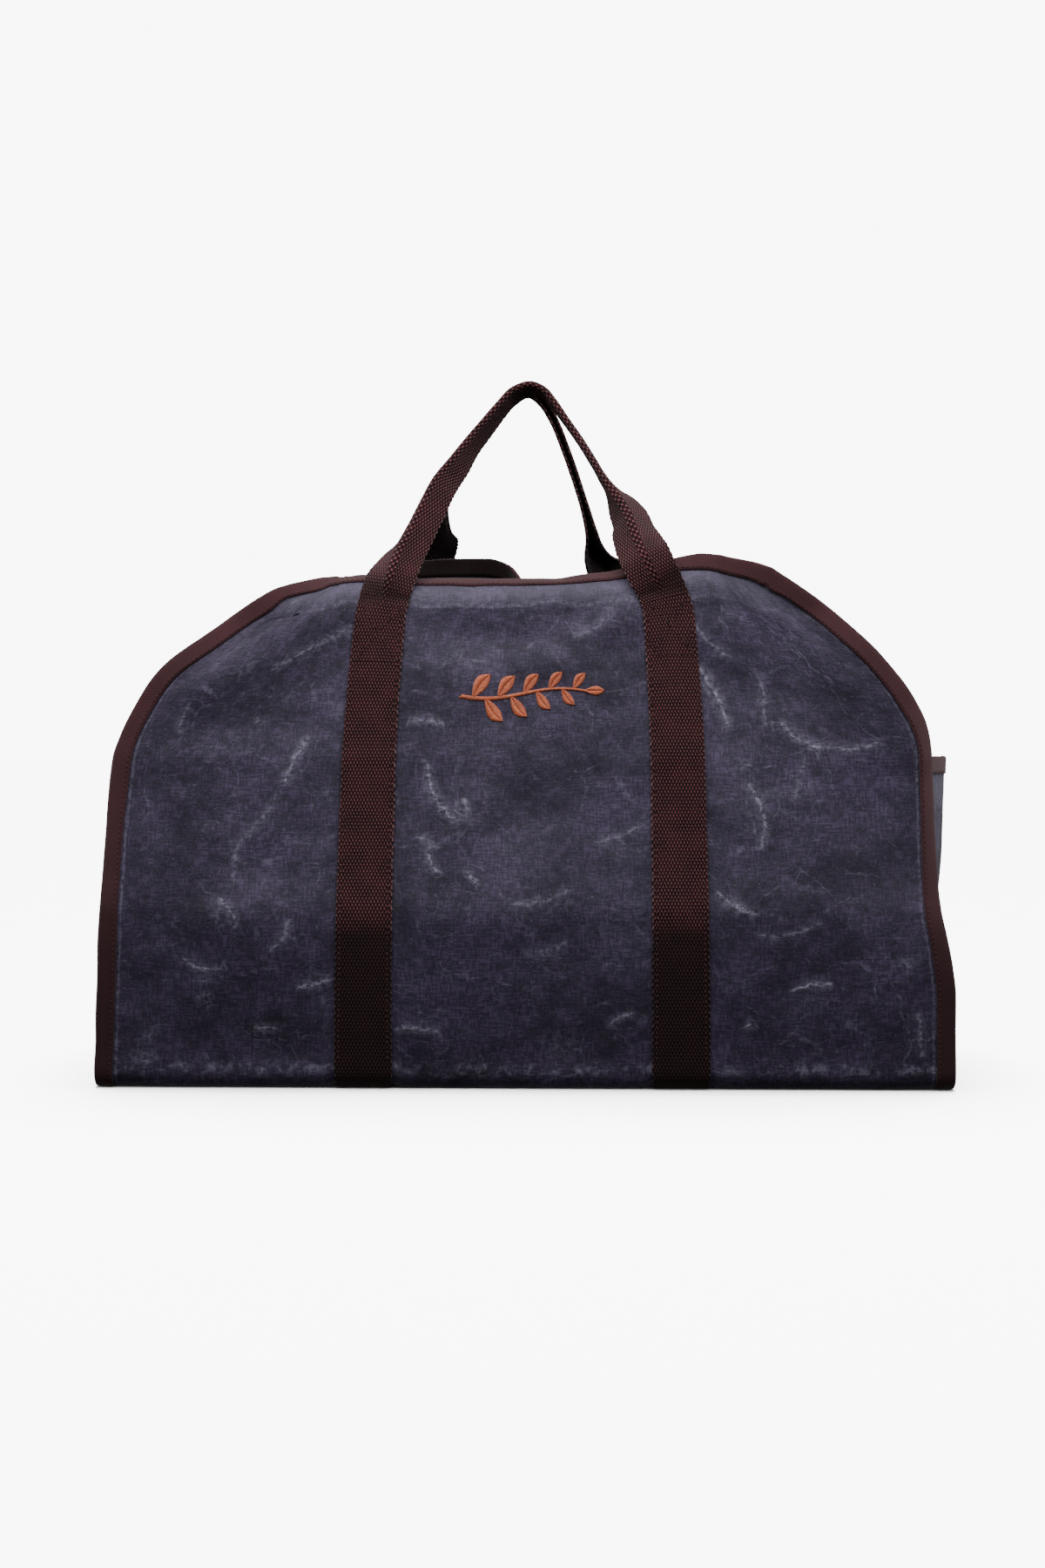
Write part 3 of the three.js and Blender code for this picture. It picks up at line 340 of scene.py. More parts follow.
front_grid = panel_grid(FRONT)
back_grid = panel_grid(BACK)
flat_depth = DEPTH / 2 - FOLD_RADIUS
coarse = [*front_grid[::-1]]
coarse += [fold_row(front_grid[0], -1, share) for share in (0.75, 0.5, 0.25)]
coarse += [base_row(front_grid[0], flat_depth * share) for share in (-1, -0.5, 0, 0.5, 1)]
coarse += [fold_row(front_grid[0], 1, share) for share in (0.25, 0.5, 0.75)]
coarse = np.array([*coarse, *back_grid])
LAST_ROW = len(coarse) - 1


def knots_along(grid, axis):
    """Distance of each row (axis 0) or column (axis 1) from the first, as a mean over the grid."""
    steps = np.linalg.norm(np.diff(grid, axis=axis), axis=-1).mean(axis=1 - axis)
    return np.concatenate([[0], np.cumsum(steps)])


def finer(knots, step):
    """Knots with each span cut into equal parts no longer than the step, alike from both ends, and
    where each of the old knots is among them."""
    counts = np.ceil(np.diff(knots) / step).astype(int)
    counts = np.maximum(counts, counts[::-1])
    places = np.concatenate([[0], np.cumsum(counts)])
    return np.interp(np.arange(places[-1] + 1), places, knots), places


row_knots, column_knots = knots_along(coarse, 0), knots_along(coarse, 1)
down, ROW = finer(row_knots, THREAD_STEP)
across, COLUMN = finer(column_knots, THREAD_STEP)
cloth_grid = curve(row_knots, coarse, down)
cloth_grid = curve(column_knots, cloth_grid.swapaxes(0, 1), across).swapaxes(0, 1)
random = np.random.default_rng(4762)


def rumple(size):
    """Random soft unevenness over the cloth: chance heights a size apart, joined smoothly."""
    rows = np.arange(down[0] - size, down[-1] + 2 * size, size)
    columns = np.arange(across[0] - size, across[-1] + 2 * size, size)
    heights = random.normal(size=(len(rows), len(columns)))
    return curve(columns, curve(rows, heights, down).T, across).T


def out_of(grid):
    """Unit directions out of a surface: the cross product of its lines down and across."""
    out = np.cross(np.gradient(grid, axis=0), np.gradient(grid, axis=1))
    return out / np.linalg.norm(out, axis=-1, keepdims=True)


# Hand-rubbed creases of the wax on the front panel, in millimetres from the middle of the base:
# from one place to another, with a sag across the line and a strength. The back has them mirrored.
CREASES = [
    (-178, 290, -119, 320, 2, 0.55),
    (-167, 209, -151, 244, 1, 0.9),
    (-209, 161, -169, 207, -4, 0.45),
    (-200, 153, -197, 171, 1, 0.7),
    (-211, 132, -196, 112, 2, 0.8),
    (-236, 92, -203, 87, -7, 0.7),
    (-174, 95, -160, 118, -2, 0.7),
    (-156, 70, -130, 77, -1, 0.9),
    (-188, 41, -168, 41, 1, 0.9),
    (-242, 244, -234, 268, 1, 0.5),
    (-226, 62, -214, 66, 1, 0.6),
    (-82, 255, -55, 252, 1, 0.75),
    (-67, 228, -44, 183, -7, 0.9),
    (-41, 201, -40, 184, 1, 0.8),
    (-75, 173, -64, 170, 1, 0.9),
    (-65, 168, -56, 148, -4, 1),
    (-42, 151, -30, 140, 1, 0.8),
    (-88, 43, -56, 40, 1, 0.8),
    (34, 314, 64, 330, -2, 0.5),
    (117, 327, 146, 299, -2, 0.55),
    (119, 297, 144, 251, 3, 1),
    (167, 284, 169, 249, 1, 0.5),
    (178, 256, 214, 235, -5, 0.95),
    (214, 235, 250, 240, -2, 0.6),
    (155, 213, 165, 165, 7, 0.8),
    (190, 200, 198, 231, 2, 0.4),
    (49, 170, 84, 183, -2, 0.5),
    (134, 137, 163, 121, -3, 0.95),
    (184, 68, 214, 74, 2, 1),
    (151, 43, 162, 46, 2, 0.8),
    (272, 56, 274, 22, 1, 0.6),
    (58, 44, 78, 54, 1, 0.7),
    (-9, 128, 34, 139, -4, 0.45),
    (0, 96, 32, 103, -4, 0.4),
    (206, 116, 160, 108, 4, 0.45),
]
# Soft pale places: where, how wide and how strong.
RUBS = [
    (-263, 22, 9, 0.8),
    (-258, 38, 6, 0.5),
    (-186, 255, 4, 0.7),
    (-216, 80, 10, 0.3),
    (-211, 128, 6, 0.5),
    (-133, 262, 6, 0.45),
    (-46, 186, 7, 0.5),
    (-64, 169, 5, 0.7),
    (-200, 300, 30, 0.15),
    (143, 253, 4, 1),
    (155, 223, 5, 0.6),
    (145, 130, 6, 0.5),
    (266, 89, 6, 0.9),
    (227, 47, 6, 0.6),
    (27, 33, 14, 0.45),
    (47, 250, 4, 0.5),
    (75, 110, 22, 0.2),
    (-5, 160, 30, 0.15),
    (190, 60, 18, 0.25),
]
CREASE_REACH = 9.0  # how far to its sides the distance from a crease is told
FADE_PAST, FADE_LENGTH = 2, 6  # a crease ends so far past its places, and fades over this length
FADE_ASIDE = 5  # to its sides it is whole up to here, and gone at twice as far


def rubbed(x, z):
    """Signed distance to the nearest crease, that crease's strength, and the rubs' strength.

    A crease is a straight line bent by its sag. Its strength fades past its ends and to its sides,
    so the sign may jump only where nothing shows.
    """
    distance = np.full(np.shape(x), CREASE_REACH)
    strength = np.zeros(np.shape(x))
    for x0, z0, x1, z1, sag, force in CREASES:
        long = math.hypot(x1 - x0, z1 - z0)
        along = ((x - x0) * (x1 - x0) + (z - z0) * (z1 - z0)) / long
        share = np.clip(along / long, 0, 1)
        aside = ((z - z0) * (x1 - x0) - (x - x0) * (z1 - z0)) / long - sag * 4 * share * (1 - share)
        ends = smooth((along + FADE_PAST) / FADE_LENGTH) * smooth((long + FADE_PAST - along) / FADE_LENGTH)
        here = force * ends * smooth(2 - np.abs(aside) / FADE_ASIDE)
        distance = np.where(here > strength, np.clip(aside, -CREASE_REACH, CREASE_REACH), distance)
        strength = np.maximum(here, strength)
    rub = sum(force * np.exp(-(((x - a) ** 2 + (z - b) ** 2) / size**2)) for a, b, size, force in RUBS)
    return distance, strength, rub


marks = np.zeros(cloth_grid.shape)
on_front = down < row_knots[TOP_ROW]
on_back = down > row_knots[LAST_ROW - TOP_ROW]
marks[on_front] = np.stack(rubbed(cloth_grid[on_front, :, 0], cloth_grid[on_front, :, 2]), axis=-1)
marks[on_back] = np.stack(rubbed(-cloth_grid[on_back, :, 0], cloth_grid[on_back, :, 2]), axis=-1)

# Small folds: soft rumples everywhere, and a low ridge along each crease. They fade out at the
# floor, in the tape and under the straps, which hold the cloth flat.
FLOOR_HOLD, FLOOR_FREEING = 6, 20  # held up to this height, and free so much higher
STRAP_HOLD, STRAP_FREEING = 18, 12  # the same to the sides of a strap's middle line
UNDER_STRAP = 0.25  # how free the cloth still is under a strap
TAPE_HOLD, TAPE_FREEING = 6, 18  # freeing starts so far inside the tape, and takes so long
RIDGE_HEIGHT, RIDGE_WIDTH = 0.7, 3.2
RUMPLES = [(0.75, 46), (0.4, 21), (0.16, 11)]  # height and size of the soft rumples
free = smooth((cloth_grid[..., 2] - FLOOR_HOLD) / FLOOR_FREEING)
for first, last in STRAP_COLUMNS.values():
    middle = (across[COLUMN[first]] + across[COLUMN[last]]) / 2
    free = free * mix(UNDER_STRAP, 1, smooth((np.abs(across - middle) - STRAP_HOLD) / STRAP_FREEING))
for from_edge in (across, across[-1] - across):
    free = free * smooth((from_edge - TAPE_WIDTH + TAPE_HOLD) / TAPE_FREEING)
ridges = marks[..., 1] * np.exp(-((marks[..., 0] / RIDGE_WIDTH) ** 2)) * RIDGE_HEIGHT
rumples = sum(height * rumple(size) for height, size in RUMPLES)
lift = free * (rumples + ridges)
cloth_grid = cloth_grid + out_of(cloth_grid) * lift[..., None]
cloth_out = out_of(cloth_grid)


def grid_faces(rows, columns):
    """Quads of a grid of points, numbered row by row."""
    corner = (np.arange(rows - 1)[:, None] * columns + np.arange(columns - 1)).ravel()
    return np.stack([corner, corner + columns, corner + columns + 1, corner + 1], axis=-1)


def wall(outer, inner):
    """Points and quads of a closed wall between two grids: both faces, and a strip round the rim."""
    rows, columns = outer.shape[:2]
    count = rows * columns
    face = grid_faces(rows, columns)
    number = np.arange(count).reshape(rows, columns)
    rim = np.concatenate([number[0, :-1], number[:-1, -1], number[-1, :0:-1], number[:0:-1, 0]])
    strip = np.stack([rim, np.roll(rim, -1), np.roll(rim, -1) + count, rim + count], axis=-1)
    points = np.concatenate([outer.reshape(-1, 3), inner.reshape(-1, 3)])
    return points, np.concatenate([face, face[:, ::-1] + count, strip])


def in_scene(name, data):
    """A new object of the scene, made of its data."""
    made = bpy.data.objects.new(name, data)
    bpy.context.scene.collection.objects.link(made)
    return made


def add_piece(name, points, faces, spots, material, slot, *nodes, shade=0):
    """A mesh object from points and spots on its own cloth, both in millimetres. It rides on the
    frame, takes the material given and stands for the CAD nodes named. The slot is not used.
    Shade is how dark each point's colour is made: the inner faces, deep creases and the foot."""
    mesh = bpy.data.meshes.new(name)
    mesh.from_pydata((points * MM).tolist(), [], faces.tolist())
    mesh.polygons.foreach_set("use_smooth", np.ones(len(mesh.polygons), bool))
    corners = np.zeros(len(mesh.loops), np.int32)
    mesh.loops.foreach_get("vertex_index", corners)
    layer = mesh.uv_layers.new(name="cloth")
    layer.data.foreach_set("uv", (spots * MM)[corners].astype(np.float32).ravel())
    # The shade attribute is painted shade: how dark each point's colour is made.
    layer = mesh.attributes.new("shade", "FLOAT", "POINT")
    layer.data.foreach_set("value", np.broadcast_to(shade, len(points)).astype(np.float32))
    mesh.materials.append(material)
    piece = in_scene(name, mesh)
    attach(piece, "root")
    if nodes:
        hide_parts(*nodes)
    return piece


def node(tree, kind, inputs=(), take=0, **settings):
    """Adds a node of a kind with its settings, and gives back one of its outputs by place or name.
    Inputs come in order or by name, and each gets a value or a link from another node."""
    made = tree.nodes.new("ShaderNode" + kind)
    for name, value in settings.items():
        setattr(made, name, value)
    for name, value in inputs.items() if isinstance(inputs, dict) else enumerate(inputs):
        if isinstance(value, bpy.types.NodeSocket):
            tree.links.new(value, made.inputs[name])
        else:
            made.inputs[name].default_value = value
    return made.outputs[take]


def linear(colour):
    """A hex sRGB colour as linear red, green, blue and full cover."""
    parts = [int(colour[i : i + 2], 16) / 255 for i in (1, 3, 5)]
    return [c / 12.92 if c <= 0.04045 else ((c + 0.055) / 1.055) ** 2.4 for c in parts] + [1]


def blank(name):
    """An empty node material and its tree, with a shader that is linked to the output."""
    material = bpy.data.materials.new(name)
    material.use_nodes = True
    tree = material.node_tree
    return material, tree, tree.nodes["Principled BSDF"]


# Waxed cotton canvas, plain-woven and soaked in paraffin wax: dull slate navy with a faint sheen.
# Where the cloth has been creased, the wax has cracked and shows as chalky lines and pale clouds.
# The pale colour serves the chalky marks and the painted highlight on the flaps.
NAVY, DEEP_NAVY, CHALK_AND_HIGHLIGHT = "#463b55", "#261e32", "#908a9f"
CLOTH_SHADE_COLOUR = "#0b090c"  # painted shade on the inner faces
CLOTH_INNER_SHADE = 0.6  # how dark that painted shade makes them
PANEL_LENGTH, LAST_LENGTH = down[ROW[TOP_ROW]], down[-1]
FLAP_CREASE = down[ROW[TOP_ROW - CREASE_ROW]]
PLUS, MINUS, TIMES = {"operation": "ADD"}, {"operation": "SUBTRACT"}, {"operation": "MULTIPLY"}
HIGHER, SIZE = {"operation": "MAXIMUM"}, {"operation": "ABSOLUTE"}
SOFT = {"interpolation_type": "SMOOTHSTEP"}
COLOURS = {"take": 2, "data_type": "RGBA"}  # a colour mix: inputs 0 the share, 6 and 7 the colours
# Chance over the cloth: size of the blobs in millimetres, detail, roughness, and where it is
# stretched softly, the range of the noise and what it becomes.
PATCHES = {
    "wide clouds": (70, 3, 0.6),
    "near clouds": (14, 5, 0.7),
    "cracked": (33, 2, 0.6, 0.47, 0.64, 0, 1),
    "crazed": (19, 3, 0.6, 0.5, 0.66, 0, 0.7),
    "dust": (3, 4, 0.8, 0.55, 0.72, 0, 1),
    "dusty": (26, 3, 0.6, 0.42, 0.66, 0.15, 0.9),
    "smears": (11, 5, 0.75, 0.53, 0.7, 0, 1),
    "smeared": (48, 2, 0.6, 0.44, 0.62, 0.1, 1),
    "broken": (4, 4, 0.75, 0.36, 0.64, 0.05, 1),
    "wobble": (9, 4, 0.75),
    "rubbed": (5, 5, 0.8, 0.4, 0.64, 0, 1),
    "wavy": (38, 2, 0.6),
    "on crease": (24, 2, 0.6, 0.35, 0.6, 0.05, 0.5),
    "on fold": (8, 5, 0.75, 0.46, 0.66, 0.02, 0.75),
    "dents": (10, 4, 0.65),
}
waxed_canvas, tree, shader = blank("waxed_canvas")
spot = node(tree, "UVMap", take="UV", uv_map="cloth")
marked = node(tree, "Attribute", take="Vector", attribute_name="marks")
distance, crease_force, rub_force = node(tree, "SeparateXYZ", [marked], slice(3))
place_across, place_down, _ = node(tree, "SeparateXYZ", [spot], slice(3))
patch = {}
for name, (size, detail, rough, *stretch) in PATCHES.items():
    inputs = {"Vector": spot, "Scale": 1000 / size, "Detail": detail, "Roughness": rough}
    patch[name] = node(tree, "TexNoise", inputs)
    if stretch:
        patch[name] = node(tree, "MapRange", [patch[name], *stretch], **SOFT)
# Threads of such canvas are usually about 0.6 mm apart. They are drawn 1.3 mm apart, which the
# render can show.
warp_way = node(tree, "Mapping", {"Vector": spot, "Scale": (1000 / 1.3, 1000 / 8, 1)})
weft_way = node(tree, "Mapping", {"Vector": spot, "Scale": (1000 / 8, 1000 / 1.3, 1)})
warp = node(tree, "TexNoise", {"Vector": warp_way, "Scale": 1, "Detail": 2})
weft = node(tree, "TexNoise", {"Vector": weft_way, "Scale": 1, "Detail": 2})
threads = node(tree, "Math", [warp, weft], **PLUS)
threads = node(tree, "Math", [threads, 0.5], **TIMES)
# Wax clouds of two sizes, and cracks of two sizes as the borders between the cells of a bent
# pattern, kept only where a wide noise is high.
clouds = node(tree, "Mix", {0: 0.45, 2: patch["wide clouds"], 3: patch["near clouds"]})
bent = node(tree, "TexNoise", {"Vector": spot, "Scale": 1000 / 30, "Detail": 4}, "Color")
bent = node(tree, "VectorMath", [bent, (0.03, 0.03, 0), spot], operation="MULTIPLY_ADD")
wide_cells = {"Vector": bent, "Scale": 1000 / 46}
cracks = node(tree, "TexVoronoi", wide_cells, "Distance", feature="DISTANCE_TO_EDGE")
cracks = node(tree, "MapRange", [cracks, 0.024, 0.003], **SOFT)
cracks = node(tree, "Math", [cracks, patch["cracked"]], **TIMES)
near_cells = {"Vector": bent, "Scale": 1000 / 15}
crazing = node(tree, "TexVoronoi", near_cells, "Distance", feature="DISTANCE_TO_EDGE")
crazing = node(tree, "MapRange", [crazing, 0.06, 0.01], **SOFT)
crazing = node(tree, "Math", [crazing, patch["crazed"]], **TIMES)
networks = node(tree, "Math", [cracks, crazing], **HIGHER)
networks = node(tree, "Math", [networks, 0.4], **TIMES)
# The rubbed creases: a broken line that strays by up to 3 mm, in a soft glow.
wobble = node(tree, "Math", [patch["wobble"], 9, -4.5], operation="MULTIPLY_ADD")
off_line = node(tree, "Math", [distance, wobble], **PLUS)
off_line = node(tree, "Math", [off_line], **SIZE)
crease_line = node(tree, "MapRange", [off_line, 1.9, 0.1], **SOFT)
crease_line = node(tree, "Math", [crease_line, crease_force], **TIMES)
crease_glow = node(tree, "MapRange", [off_line, 8, 0, 0, 0.65], **SOFT)
crease_glow = node(tree, "Math", [crease_glow, crease_force], **TIMES)
crease_glow = node(tree, "Math", [crease_glow, patch["broken"]], **TIMES)
rub = node(tree, "Math", [rub_force, patch["rubbed"]], **TIMES)
# Pale lines where the tape's stitches, the flap's crease and the fold at the foot work the wax loose.
from_middle = node(tree, "Math", [place_across, across[-1] / 2 * MM], **MINUS)
from_middle = node(tree, "Math", [from_middle], **SIZE)
off_tape = node(tree, "Math", [from_middle, (across[-1] / 2 - TAPE_WIDTH - 1.6) * MM], **MINUS)
off_tape = node(tree, "Math", [off_tape], **SIZE)
beside_tape = node(tree, "MapRange", [off_tape, 0.0018, 0, 0, 0.5], **SOFT)
from_middle = node(tree, "Math", [place_down, LAST_LENGTH / 2 * MM], **MINUS)
from_middle = node(tree, "Math", [from_middle], **SIZE)
# A painted highlight along both flaps: paler towards the top edges, where the flap droops and faces the light
# above.
flap_from, flap_to = (LAST_LENGTH / 2 - 42) * MM, (LAST_LENGTH / 2 - 22) * MM
flap_highlight = node(tree, "MapRange", [from_middle, flap_from, flap_to, 0, 0.3], **SOFT)
off_crease = node(tree, "Math", [patch["wavy"], 0.022, from_middle], operation="MULTIPLY_ADD")
off_crease = node(tree, "Math", [off_crease, (LAST_LENGTH / 2 - FLAP_CREASE + 11) * MM], **MINUS)
off_crease = node(tree, "Math", [off_crease], **SIZE)
on_crease = node(tree, "MapRange", [off_crease, 0.0035, 0], **SOFT)
on_crease = node(tree, "Math", [on_crease, patch["on crease"]], **TIMES)
off_fold = node(tree, "Math", [from_middle, (LAST_LENGTH / 2 - PANEL_LENGTH + 3) * MM], **MINUS)
off_fold = node(tree, "Math", [off_fold], **SIZE)
on_fold = node(tree, "MapRange", [off_fold, 0.008, 0], **SOFT)
on_fold = node(tree, "Math", [on_fold, patch["on fold"]], **TIMES)
lines = node(tree, "Math", [crease_line, networks], **HIGHER)
for line in (on_crease, beside_tape):
    lines = node(tree, "Math", [lines, line], **HIGHER)
lines = node(tree, "Math", [lines, patch["broken"]], **TIMES)
dust = node(tree, "Math", [patch["dust"], patch["dusty"]], **TIMES)
dust = node(tree, "Math", [dust, 0.5], **TIMES)
smears = node(tree, "Math", [patch["smears"], patch["smeared"]], **TIMES)
smears = node(tree, "Math", [smears, 0.3], **TIMES)
soft = node(tree, "Math", [crease_glow, dust], **HIGHER)
for pale in (smears, rub, flap_highlight, on_fold):
    soft = node(tree, "Math", [soft, pale], **HIGHER)
soft = node(tree, "Math", [soft, 0.5], **TIMES)
# The pale share: the chalky wax marks, and the painted highlight on the flaps.
chalk_and_highlight = node(tree, "Math", [lines, 0.54, soft], operation="MULTIPLY_ADD", use_clamp=True)
ground = node(tree, "MapRange", [clouds, 0.36, 0.64], **SOFT)
ground = node(tree, "Mix", {0: ground, 6: linear(DEEP_NAVY), 7: linear(NAVY)}, **COLOURS)
grain = node(tree, "MapRange", [threads, 0.4, 0.62], **SOFT)
ground = node(tree, "Mix", {0: grain, 6: ground, 7: linear(NAVY)}, **COLOURS, blend_type="SOFT_LIGHT")
speck = node(tree, "MapRange", [threads, 0.54, 0.7, 0, 0.2], **SOFT)
pale = node(tree, "Math", [chalk_and_highlight, speck], **HIGHER)
colour = node(tree, "Mix", {0: pale, 6: ground, 7: linear(CHALK_AND_HIGHLIGHT)}, **COLOURS)
# Painted shade: the shade attribute darkens the inner faces.
shade = node(tree, "Attribute", take="Fac", attribute_name="shade")
colour = node(tree, "Mix", {0: shade, 6: colour, 7: linear(CLOTH_SHADE_COLOUR)}, **COLOURS)
dull = node(tree, "MapRange", [clouds, 0.3, 0.7, 0.76, 0.56], **SOFT)
weave = node(tree, "Bump", {"Height": threads, "Strength": 0.4, "Distance": 0.0006}, "Normal")
dents = node(tree, "Math", [patch["dents"], 1.2, lines], operation="MULTIPLY_ADD")
dents = {"Height": dents, "Strength": 0.45, "Distance": 0.0012, "Normal": weave}
tree.links.new(colour, shader.inputs["Base Color"])
tree.links.new(dull, shader.inputs["Roughness"])
tree.links.new(node(tree, "Bump", dents, "Normal"), shader.inputs["Normal"])
shader.inputs["Specular IOR Level"].default_value = 0.28
shader.inputs["Sheen Weight"].default_value = 0.05

points, faces = wall(cloth_grid + cloth_out * CANVAS / 2, cloth_grid - cloth_out * CANVAS / 2)
flat_spots = np.stack(np.meshgrid(across, down), axis=-1).reshape(-1, 2)
# The inner faces get painted shade.
inner_shade = np.repeat([0, CLOTH_INNER_SHADE], len(flat_spots))
flat_spots = np.concatenate([flat_spots, flat_spots])
main_cloth = add_piece(
    "carrier_cloth", points, faces, flat_spots, waxed_canvas, "waxed_canvas", "main_cloth", shade=inner_shade
)
layer = main_cloth.data.attributes.new("marks", "FLOAT_VECTOR", "POINT")
layer.data.foreach_set("vector", np.concatenate([marks, marks]).astype(np.float32).ravel())

# The binding: twill tape folded over the cloth's raw edge all the way round and sewn through both
# legs with one line of lockstitch. At the ends it also holds the end panels' edges on the inside.
SEWN_GAP = 0.12  # between a cloth and what is sewn on it
CLOTH_GAP = CANVAS / 2 + SEWN_GAP  # from the middle of the main cloth to what is sewn on it
END_CANVAS = 1.2  # wall of an end panel
END_TOP_ROW = TOP_ROW + 1 - len(LOWER_ROWS)
LEG_SHARES = np.linspace(1, 0, 5)  # across a leg of the tape, from its inner line to the edge
TURN_ANGLES = np.radians([30, 90, 150])
TAPE_ROUND = 2 * TAPE_WIDTH + 3  # across both legs and the turn
PUCKER, LOOSENESS, END_PUCKER = 0.3, 0.12, 0.2  # how far chance moves a tape past and off its edge
TAPE_INNER_SHADE, TAPE_FOOT_SHADE = 0.9, 0.5  # painted shade: how dark the tape's inner leg and its foot are made
TAPE_LOW_FROM, TAPE_LOW_OVER = 240, 220  # height where that starts, and over how much


def sample(grid, row, column):
    """A grid's value between its points: the mean of the four around a place, by nearness."""
    r = np.clip(np.floor(row).astype(int), 0, grid.shape[0] - 2)
    c = np.clip(np.floor(column).astype(int), 0, grid.shape[1] - 2)
    down_share, across_share = (row - r)[..., None], (column - c)[..., None]
    above = mix(grid[r, c], grid[r, c + 1], across_share)
    below = mix(grid[r + 1, c], grid[r + 1, c + 1], across_share)
    return mix(above, below, down_share)


def unit(vectors):
    """Vectors at length 1."""
    return vectors / np.linalg.norm(vectors, axis=-1, keepdims=True)


def run_along(line):
    """Length along a line up to each of its points."""
    return np.concatenate([[0], np.cumsum(np.linalg.norm(np.diff(line, axis=0), axis=-1))])


def wander(count, size, seed):
    """Soft chance values along a line of a count of stations: size stations from one to the next."""
    marks_along = np.arange(0, count + size, size)
    heights = np.random.default_rng(seed).normal(size=len(marks_along))
    return curve(marks_along, heights, np.arange(count))


def fold_tape(line, out, outer_gap, inner_gap, bulge):
    """Sections of a tape folded over an edge. A line holds the cloth's points from the tape's inner
    line to the edge, and out its directions. Each section runs down the outer leg, round the edge
    and up the inner leg at the tape's outside, and back the same way at its inside."""
    past = unit(line[:, -1] - line[:, -2])

    def shell(thickness):
        outer = line + out * (outer_gap + thickness)[:, None, None]
        inner = line - out * (inner_gap + thickness)[:, None, None]
        turn = []
        for angle in TURN_ANGLES:
            gap = outer_gap if math.cos(angle) > 0 else inner_gap
            away = (gap + thickness)[:, None] * math.cos(angle)
            beyond = (GAP + thickness + bulge)[:, None] * math.sin(angle)
            turn.append(line[:, -1] + out[:, -1] * away + past * beyond)
        return np.concatenate([outer, np.stack(turn, axis=1), inner[:, ::-1]], axis=1)

    stations = len(line)
    return np.concatenate([shell(np.full(stations, TAPE)), shell(np.zeros(stations))[:, ::-1]], axis=1)


def loft(sections, closed):
    """Quads through a row of like sections. The ends of an open row are capped between the points
    that face each other through the thickness."""
    stations, count = sections.shape[:2]
    number = np.arange(stations * count).reshape(stations, count)
    here = number if closed else number[:-1]
    after = np.roll(number, -1, axis=0) if closed else number[1:]
    sides = np.stack([here, np.roll(here, -1, axis=1), np.roll(after, -1, axis=1), after], axis=-1)
    sides = sides.reshape(-1, 4)
    if closed:
        return sides
    i = np.arange(count // 2 - 1)
    cap = np.stack([i + 1, i, count - 1 - i, count - 2 - i], axis=-1)
    return np.concatenate([sides, cap, cap[:, ::-1] + (stations - 1) * count])


def facing_out(points, faces):
    """The faces, turned round if the volume that they enclose comes out negative."""
    a, b, c, d = (points[faces[:, i]] for i in range(4))
    volume = np.sum(a * np.cross(b, c)) + np.sum(a * np.cross(c, d))
    return faces if volume > 0 else faces[:, ::-1]


def tape_spots(sections, along):
    """Places on the tape for its weave: along it, and across from the outer leg's inner line."""
    half = sections.shape[1] // 2
    across_tape = np.concatenate([np.arange(half), np.arange(half)[::-1]]) * TAPE_ROUND / (half - 1)
    return np.stack(np.meshgrid(across_tape, along), axis=-1).reshape(-1, 2)


last_row, last_column = ROW[-1], COLUMN[-1]
rows = np.arange(last_row)
columns = np.arange(last_column)
edge_row = np.concatenate([0 * columns, rows, 0 * columns + last_row, rows[::-1] + 1])
edge_column = np.concatenate([columns, 0 * rows + last_column, columns[::-1] + 1, 0 * rows])
ring_row = np.clip(edge_row, ROW[1], ROW[LAST_ROW - 1])
ring_column = np.clip(edge_column, COLUMN[1], COLUMN[LAST_COLUMN - 1])
line_row = mix(edge_row[:, None], ring_row[:, None], LEG_SHARES)
line_column = mix(edge_column[:, None], ring_column[:, None], LEG_SHARES)
tape_line = sample(cloth_grid, line_row, line_column)
tape_out = unit(sample(cloth_out, line_row, line_column))
beside_end = (edge_row > ROW[END_TOP_ROW] - 2) & (edge_row < ROW[LAST_ROW - END_TOP_ROW] + 2)
inner_gap = CLOTH_GAP + np.where(beside_end, END_CANVAS + 2 * GAP, 0)
for _ in range(4):
    inner_gap = (np.roll(inner_gap, 1) + 2 * inner_gap + np.roll(inner_gap, -1)) / 4
stations = len(edge_row)
pucker = PUCKER * wander(stations, 7, 11)
pucker[[0, -1]] = 0
outer_gap = CLOTH_GAP + LOOSENESS * np.abs(wander(stations, 6, 12))
sections = fold_tape(tape_line, tape_out, outer_gap, inner_gap, pucker)
tape_length = run_along(tape_line[:, -1])

# Cotton twill tape, dark brown: fine slanting ribs, matt, a little paler where its edge is rubbed.
# Such ribs are usually about 0.5 mm apart. They are drawn 1.4 mm apart, which the render can show.
TAPE_BROWN, TAPE_DARK, TAPE_PALE, TAPE_SHADE = "#3d1d23", "#2a1217", "#6a4247", "#140709"
twill_tape, tree, shader = blank("twill_tape")
spot = node(tree, "UVMap", take="UV", uv_map="cloth")
place_across, place_along, _ = node(tree, "SeparateXYZ", [spot], slice(3))
slanted = node(tree, "Math", [place_along, place_across], **PLUS)
uneven = node(tree, "TexNoise", {"Vector": spot, "Scale": 1000 / 4, "Detail": 2})
uneven = node(tree, "Math", [uneven, 4], **TIMES)
slanted = node(tree, "Math", [slanted, 2 * math.pi / 0.0014, uneven], operation="MULTIPLY_ADD")
ribs = node(tree, "Math", [slanted], operation="SINE")
from_turn = node(tree, "Math", [place_across, TAPE_ROUND / 2 * MM], **MINUS)
from_turn = node(tree, "Math", [from_turn], **SIZE)
worn = node(tree, "MapRange", [from_turn, 0.0045, 0.0008], **SOFT)
chafed = node(tree, "TexNoise", {"Vector": spot, "Scale": 1000 / 9, "Detail": 4, "Roughness": 0.7})
